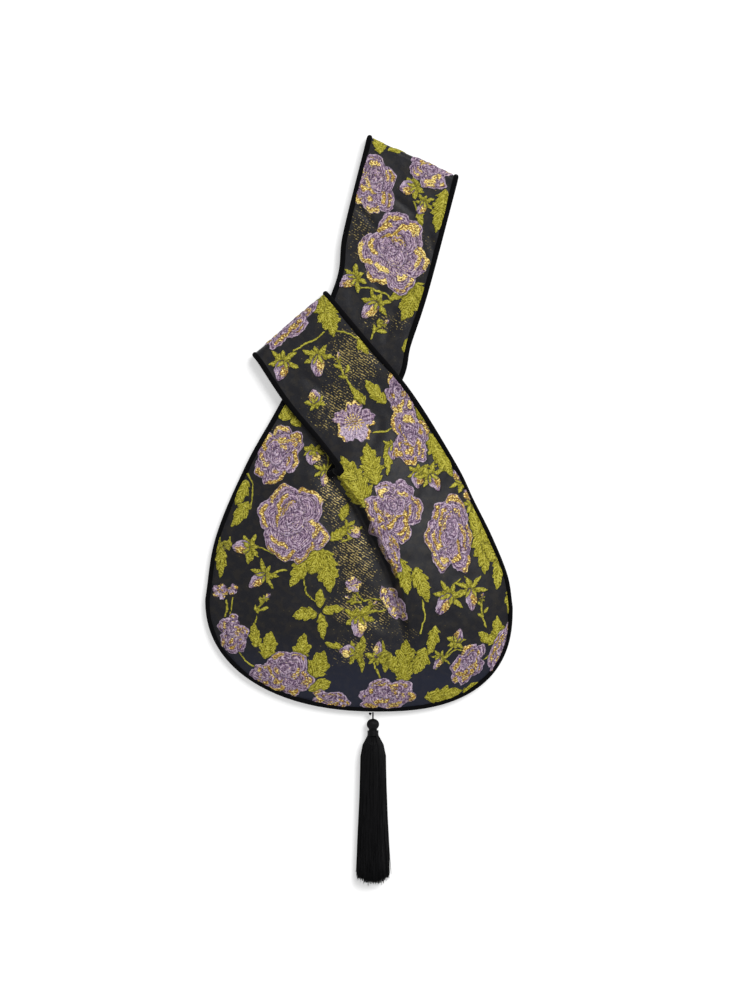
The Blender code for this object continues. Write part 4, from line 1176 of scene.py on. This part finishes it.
def strands_mesh():
    """Hundreds of fine strands from the neck to a ragged end."""
    dice = np.random.default_rng(21)
    count = STRANDS
    bm = bmesh.new()
    marks = bm.verts.layers.float_vector.new("marks")
    for number in range(count):
        made = bmesh.ops.create_grid(bm, x_segments=3, y_segments=STRAND_ROWS, size=0.5)
        for vert in made["verts"]:
            vert[marks] = (number, vert.co.x + 0.5, vert.co.y + 0.5)
    mesh = bpy.data.meshes.new("strands")
    bm.to_mesh(mesh)
    marked = read_points(mesh, "marks")
    number, round_it, share = marked[:, 0].round().astype(int), marked[:, 1], marked[:, 2]
    angle = dice.uniform(0, 2 * math.pi, count)
    depth = np.sqrt(dice.uniform(0.45, 1.0, count))
    length = SKIRT_LENGTH * (1.004 + dice.normal(0, 0.012, count) - 0.045 * abs(np.cos(angle)) ** 3)
    length = length - SKIRT_LENGTH * 0.05 * dice.uniform(0, 1, count) ** 6
    drift = dice.normal(0, 0.07, count)
    stray = dice.uniform(0, 1, count) ** 14 * dice.choice((-1, 1), count)
    wave = dice.uniform(0, 2 * math.pi, (2, count))
    top = HEAD_LENGTH + BINDING_LENGTH - STRAND_START
    along = share * (length[number] + STRAND_START)
    wide, thick = tassel_profile(top + along)
    lean = angle[number] + drift[number] * share
    sway = STRAND_SWAY * share
    x = wide * depth[number] * np.cos(lean) + sway * np.sin(5 * share + wave[0][number])
    x = x + STRAY_REACH * stray[number] * share**8
    z = thick * depth[number] * np.sin(lean) + sway * np.sin(6 * share + wave[1][number])
    radius = STRAND_RADIUS * (1 - 0.4 * ease((share - 0.93) / 0.07))
    turn = 2 * math.pi * round_it
    places = np.column_stack([
        TASSEL_X + x + radius * np.cos(turn),
        HEAD_TOP_Y - top - along,
        np.maximum(SEAM_HEIGHT + z + radius * np.sin(turn), STRAND_CLEARANCE),
    ])
    mesh.vertices.foreach_set("co", places.ravel())
    bm.clear()
    bm.from_mesh(mesh)
    bmesh.ops.remove_doubles(bm, verts=bm.verts, dist=1e-7)
    bmesh.ops.holes_fill(bm, edges=[edge for edge in bm.edges if edge.is_boundary], sides=3)
    bmesh.ops.recalc_face_normals(bm, faces=bm.faces)
    bm.to_mesh(mesh)
    bm.free()
    return mesh


def make_hanger():
    """The doubled twisted cord from the seam to the tassel's head, and the knot beside it."""
    thread = silk()
    top = BODY_BOTTOM - GAP
    spread = (HANGER_DIAMETER + GAP) / 2
    centre_y = top - HANGER_DIAMETER / 2 - spread
    turn = np.linspace(0, math.pi, 9)
    arc = np.column_stack([centre_y + spread * np.sin(turn), -spread * np.cos(turn)])
    ends = np.array(((HEAD_TOP_Y + CORD_END, -spread / 2), (HEAD_TOP_Y + CORD_END, spread / 2)))
    middle = np.array(((HEAD_TOP_Y + CORD_PARTS, -spread), (HEAD_TOP_Y + CORD_PARTS, spread)))
    line = np.vstack([ends[:1], middle[:1], arc, middle[1:], ends[1:]])
    places = np.column_stack([np.full(len(line), TASSEL_X), line[:, 0], SEAM_HEIGHT + line[:, 1]])
    ply = lambda angle, share: 0.82 + 0.24 * abs(np.cos(angle - 26 * share))
    cord = tube("cord", smooth_path(places, CORD_SPACING), HANGER_DIAMETER / 2, 16, swell=ply)
    piece("silk_hanger_cord", cord, thread, ["tassel_hanger"], "hanger")
    t = np.linspace(0, 2 * math.pi, 90, endpoint=False)
    knot = np.column_stack([
        np.sin(t) + 2 * np.sin(2 * t),
        np.cos(t) - 2 * np.cos(2 * t),
        -np.sin(3 * t),
    ]) * KNOT_SCALE
    knot = knot + (TASSEL_X - HANGER_DIAMETER / 2 - GAP - KNOT_DIAMETER / 2, centre_y, SEAM_HEIGHT)
    tied = tube("knot", knot, KNOT_CORD / 2, 10, closed=True)
    piece("silk_hanger_knot", tied, thread, ["hanger_knot"], "hanger")


def hex_colour(code):
    """An sRGB hex colour as linear red, green, blue and alpha."""
    parts = [int(code[i : i + 2], 16) / 255 for i in (1, 3, 5)]
    linear = [part / 12.92 if part <= 0.04045 else ((part + 0.055) / 1.055) ** 2.4 for part in parts]
    return (*linear, 1.0)


def add(tree, kind, feeds, out=0, **settings):
    """Adds a node with its settings and what feeds its sockets, and returns one of its outputs."""
    made = tree.nodes.new("ShaderNode" + kind)
    for setting, value in settings.items():
        setattr(made, setting, value)
    for socket, source in feeds.items():
        if isinstance(source, bpy.types.NodeSocket):
            tree.links.new(source, made.inputs[socket])
        else:
            made.inputs[socket].default_value = source
    return made.outputs[out]


def start_finish(name, **sockets):
    """A new material, and its shader with the plain values set."""
    made = bpy.data.materials.new(name)
    made.use_nodes = True
    shader = made.node_tree.nodes["Principled BSDF"]
    for socket, value in sockets.items():
        shader.inputs[socket.replace("_", " ")].default_value = value
    return made, made.node_tree, shader


def brocade():
    """Jacquard brocade: a satin ground with raised, crinkled motifs in cotton weft and flat gold thread."""
    made, tree, shader = start_finish(
        "floral brocade", Sheen_Weight=0.04, Sheen_Roughness=0.4, Specular_IOR_Level=0.15
    )
    put = functools.partial(add, tree)
    times, fused, plus = {"operation": "MULTIPLY"}, {"operation": "MULTIPLY_ADD"}, {"operation": "ADD"}
    smooth = {"interpolation_type": "SMOOTHSTEP"}
    paint = {"out": 2, "data_type": "RGBA"}
    marks = put("Attribute", {}, "Vector", attribute_name="marks")
    place = put("VectorMath", {0: marks, "Scale": 1000.0}, operation="SCALE")
    across, up = (put("SeparateXYZ", {0: place}, axis) for axis in "XY")
    field = {name: put("Attribute", {}, "Fac", attribute_name=name) for name in PATTERN_FIELDS}

    # Noises on the cloth, in hills to a millimetre along and across, with their detail and turn
    grain = {}
    for name, scale, detail, turn in (
        ("weft", (0.75, 2.6), 2.0, 0.0), ("speck", (1.3, 1.3), 1.0, 0.0), ("patch", (0.16, 0.16), 3.0, 0.0),
        ("crinkle", (0.40, 1.5), 3.0, 0.7), ("warp", (1.0, 0.20), 2.0, 0.15),
        ("fine", (0.55, 0.90), 2.0, TWILL_TURN),
    ):
        spread = put("Mapping", {"Vector": place, "Rotation": (0, 0, turn), "Scale": (*scale, 1.0)})
        grain[name] = put("TexNoise", {"Vector": spread, "Scale": 1.0, "Detail": detail})

    # Strokes and waves that follow the motifs' lines, and the slanting rows of the gold thread
    line_place = put("CombineXYZ", {
        axis: put("Math", {0: source, 1: scale}, **times)
        for axis, source, scale in (("X", across, 0.38), ("Y", up, 0.38), ("Z", field["ridge"], 0.85))
    })
    stroke = put("TexNoise", {"Vector": line_place, "Scale": 1.0, "Detail": 3.0, "Roughness": 0.65})
    slanted = put("Mapping", {"Vector": place, "Rotation": (0, 0, TWILL_TURN)})
    waves = []
    for source, wander, pitch in (
        (field["ridge"], 3.4, RIDGE_PITCH), (put("SeparateXYZ", {0: slanted}, "Y"), 2.5, TWILL_PITCH)
    ):
        phase = put("Math", {0: grain["patch"], 1: wander, 2: source}, **fused)
        phase = put("Math", {0: phase, 1: 2 * math.pi / pitch}, **times)
        waves.append(put("Math", {0: phase}, operation="SINE"))
    ridges = put("Math", {0: waves[0], 1: 0.5, 2: 0.5}, **fused)

    # Sums that the steps below are read from
    total = {}
    for name, parts in (
        ("tone", ((ridges, 0.12), (stroke, 0.80), (grain["warp"], 0.38), (grain["speck"], 0.30))),
        ("vein", ((ridges, 0.10), (stroke, 0.72), (grain["crinkle"], 0.40), (grain["speck"], 0.36))),
        ("gilt", ((field["gold"], 0.55), (grain["speck"], 0.55), (stroke, 0.66), (field["lurex"], 0.05))),
        ("painted_glint", ((grain["fine"], 1.0), (field["lurex"], 0.10))),
        ("fleck", ((grain["fine"], 1.0), (waves[1], 0.11), (grain["patch"], 0.40), (field["lurex"], 0.30))),
        ("rose", ((grain["weft"], 0.9), (field["rose"], 1.0))),
        ("leaf", ((grain["weft"], 0.9), (field["leaf"], 1.0))),
    ):
        total[name] = 0.0
        for source, weight in parts:
            total[name] = put("Math", {0: source, 1: weight, 2: total[name]}, **fused)

    # Where each thing shows: between two values of its source, up to a strength
    shown = {}
    for name, source, low, high, strength in (
        ("rose", total["rose"], 0.33, 0.57, 1.0), ("leaf", total["leaf"], 0.33, 0.57, 1.0),
        ("lilac", total["tone"], 0.71, 0.80, 1.0), ("pale", total["tone"], 0.83, 0.92, 1.0),
        ("rim", field["ridge"], 0.85, 0.25, 0.7), ("broken", grain["speck"], 0.35, 0.6, 1.0),
        ("gilt", total["gilt"], 0.87, 0.93, 1.0), ("gold", stroke, 0.46, 0.62, 1.0),
        # Bright: a painted glint on the gold thread, from random speckle and the glint ellipses
        ("bright", total["painted_glint"], 0.50, 0.60, 1.0), ("fleck", total["fleck"], 1.00, 1.18, 1.0),
        ("olive", total["vein"], 0.67, 0.76, 1.0), ("lime", total["vein"], 0.79, 0.90, 1.0),
        ("rib", field["rib"], 0.6, 0.2, 0.5), ("edge", field["leaf"], 0.8, 0.2, 0.35),
        ("weft", grain["weft"], 0.3, 0.7, 1.0), ("warm", grain["patch"], 0.46, 0.60, 0.4),
        # A painted bluish sheen on the ground towards the bottom of the bag
        ("blue", up, -95.0, -150.0, 0.45),
    ):
        shown[name] = put("MapRange", {0: source, 1: low, 2: high, 4: strength}, **smooth)
    # The pale rim is a painted highlight along each petal's edge, broken up at random
    shown["rim"] = put("Math", {0: shown["rim"], 1: shown["broken"]}, **times)
    # Painted shade beside every shape that covers another, on roses and leaves
    shown["dark"] = put("Math", {0: field["shade"], 1: 0.65}, **times)

    # Rose: purple furrows, lilac, pale ridges, a painted highlight along the rims and painted shade where
    # one shape covers another.
    # Leaf: dark strokes, a paler midrib and edge, and the same painted shade.
    # Ground: dark satin, warm from place to place, and a painted bluish sheen towards the bottom
    coat = {}
    for name, first, others in (
        ("lilac", "#513c55", (
            ("lilac", "#a0869f"), ("pale", "#d9c5d6"), ("rim", "#dccbe0"), ("dark", "#3f2e4a"),
        )),
        # Gold: a painted glint in bright specks, partly random speckle
        ("gold", "#725326", (("gold", "#ad8836"), ("bright", "#ecd684"))),
        ("leaf", "#4f4a0e", (
            ("olive", "#979023"), ("lime", "#ccc453"), ("rib", "#d6cf5c"), ("edge", "#cbc448"),
            ("dark", "#33320a"),
        )),
        ("ground", "#0e0e12", (("weft", "#1b1b20"), ("warm", "#2b2721"), ("blue", "#252a3e"))),
        # The ground's gold flecks: the same painted glint in bright specks
        ("thread", "#665a38", (("bright", "#a5935a"),)),
    ):
        coat[name] = hex_colour(first)
        for where, code in others:
            coat[name] = put("Mix", {0: shown[where], 6: coat[name], 7: hex_colour(code)}, **paint)
    rose = put("Mix", {0: shown["gilt"], 6: coat["lilac"], 7: coat["gold"]}, **paint)
    colour = put("Mix", {0: shown["fleck"], 6: coat["ground"], 7: coat["thread"]}, **paint)
    colour = put("Mix", {0: shown["leaf"], 6: colour, 7: coat["leaf"]}, **paint)
    colour = put("Mix", {0: shown["rose"], 6: colour, 7: rose}, **paint)
    tree.links.new(colour, shader.inputs["Base Color"])

    # Gold thread shines, the motifs are matt and the ground is satin
    motif = put("Math", {0: shown["rose"], 1: shown["leaf"]}, operation="MAXIMUM")
    bare = put("Math", {0: 1.0, 1: motif}, operation="SUBTRACT")
    shine = put("Math", {0: shown["fleck"], 1: bare}, **times)
    gilded = put("Math", {0: shown["gilt"], 1: shown["rose"]}, **times)
    shine = put("Math", {0: shine, 1: 0.6, 2: gilded}, **fused)
    tree.links.new(put("Math", {0: shine, 1: 0.55}, **times), shader.inputs["Metallic"])
    rough = put("Math", {0: motif, 1: 0.26, 2: 0.40}, **fused)
    tree.links.new(put("Math", {0: shine, 1: -0.20, 2: rough}, **fused), shader.inputs["Roughness"])

    # Heights in millimetres
    height = put("Math", {0: grain["weft"], 1: 0.12}, **times)
    for source, where, rise in (
        (total["tone"], shown["rose"], 1.0), (total["vein"], shown["leaf"], 0.95),
        (field["shade"], motif, -0.30),
    ):
        height = put("Math", {0: put("Math", {0: source, 1: where}, **times), 1: rise, 2: height}, **fused)
    bump = put("Bump", {"Height": height, "Distance": 0.001, "Strength": 1.0})
    tree.links.new(bump, shader.inputs["Normal"])
    return made


def black_cloth(name, scale, detail, colours, depth, strength, **sockets):
    """A black cloth with fine grain in its colour and its surface."""
    made, tree, shader = start_finish(name, **sockets)
    place = add(tree, "Mapping", {"Vector": add(tree, "TexCoord", {}, "Object"), "Scale": scale})
    fine = add(tree, "TexNoise", {"Vector": place, "Scale": 1.0, "Detail": detail})
    dark, pale = (hex_colour(code) for code in colours)
    colour = add(tree, "Mix", {0: fine, 6: dark, 7: pale}, 2, data_type="RGBA")
    tree.links.new(colour, shader.inputs["Base Color"])
    bump = add(tree, "Bump", {"Height": fine, "Distance": depth, "Strength": strength})
    tree.links.new(bump, shader.inputs["Normal"])
    return made


def satin():
    """Polyester satin: a smooth black face with a soft gloss."""
    return black_cloth(
        "black satin", (900.0, 900.0, 900.0), 2.0, ("#0e0e11", "#1a1a1f"), 0.0001, 0.6,
        Roughness=0.34, Sheen_Weight=0.05, Specular_IOR_Level=0.2,
    )


def velvet():
    """Cotton velvet: a short black pile that drinks the light and glows a little at its edges."""
    return black_cloth(
        "black velvet", (1400.0, 1400.0, 1400.0), 3.0, ("#050506", "#111113"), 0.0003, 0.8,
        Roughness=0.95, Sheen_Weight=0.06, Sheen_Roughness=0.35, Specular_IOR_Level=0.05,
    )


def silk():
    """Rayon floss, sold as silk thread: black, with a narrow gloss along the strands."""
    return black_cloth(
        "black silk thread", (1800.0, 90.0, 1800.0), 2.0, ("#050506", "#0e0e10"), 0.0002, 0.5,
        Roughness=0.42, Specular_IOR_Level=0.1,
    )


def make_camera():
    """Straight above the bag, with a view as tall as the photograph's at the bag's middle height."""
    camera = bpy.data.objects.new("camera", bpy.data.cameras.new("camera"))
    bpy.context.scene.collection.objects.link(camera)
    camera.location = (*VIEW_CENTRE, CAMERA_HEIGHT)
    camera.data.sensor_width = SENSOR
    camera.data.lens = SENSOR * (CAMERA_HEIGHT - MIDDLE_HEIGHT) / VIEW_TALL
    bpy.context.scene.camera = camera


def add_lamp(name, place, size, power):
    lamp = bpy.data.objects.new(name, bpy.data.lights.new(name, "AREA"))
    lamp.data.energy = power
    lamp.data.size = size
    lamp.location = place
    lamp.rotation_euler = (-Vector(place)).to_track_quat("-Z", "Y").to_euler()
    bpy.context.scene.collection.objects.link(lamp)


def seen_directly(tree):
    """One where the camera looks at the surface itself, or at its mirror image."""
    path = tree.nodes.new("ShaderNodeLightPath")
    seen = path.outputs["Is Camera Ray"]
    for other in ("Is Glossy Ray", "Is Transmission Ray"):
        seen = add(tree, "Math", {0: seen, 1: path.outputs[other]}, operation="MAXIMUM")
    return seen


def make_stage():
    """A white floor, a large soft lamp above and to the right, and even light all round."""
    bm = bmesh.new()
    bmesh.ops.create_grid(bm, x_segments=1, y_segments=1, size=4)
    floor_mesh = bpy.data.meshes.new("floor")
    bm.to_mesh(floor_mesh)
    bm.free()
    floor = bpy.data.objects.new("floor", floor_mesh)
    bpy.context.scene.collection.objects.link(floor)
    paper = bpy.data.materials.new("white paper")
    paper.use_nodes = True
    tree = paper.node_tree
    tree.nodes.clear()
    face = add(tree, "BsdfDiffuse", {"Color": (0.80, 0.80, 0.80, 1)})
    lift = add(tree, "Math", {0: seen_directly(tree), 1: FLOOR_GLOW}, operation="MULTIPLY")
    glow = add(tree, "Emission", {"Color": (1, 1, 1, 1), "Strength": lift})
    whole = add(tree, "AddShader", {0: face, 1: glow})
    add(tree, "OutputMaterial", {"Surface": whole}, slice(0, 0))
    floor_mesh.materials.append(paper)
    add_lamp("key", KEY_PLACE, KEY_SIZE, KEY_POWER)
    world = bpy.data.worlds.new("studio")
    world.use_nodes = True
    tree = world.node_tree
    sky = tree.nodes["Background"]
    sky.inputs["Color"].default_value = (1, 1, 1, 1)
    bright = add(tree, "Math", {0: seen_directly(tree), 1: SKY_LIGHT}, operation="MAXIMUM")
    tree.links.new(bright, sky.inputs["Strength"])
    bpy.context.scene.world = world


make_brocade()
make_linings()
make_pipings()
make_tassel()
make_hanger()
make_camera()
make_stage()
bpy.context.scene.view_settings.view_transform = "Standard"
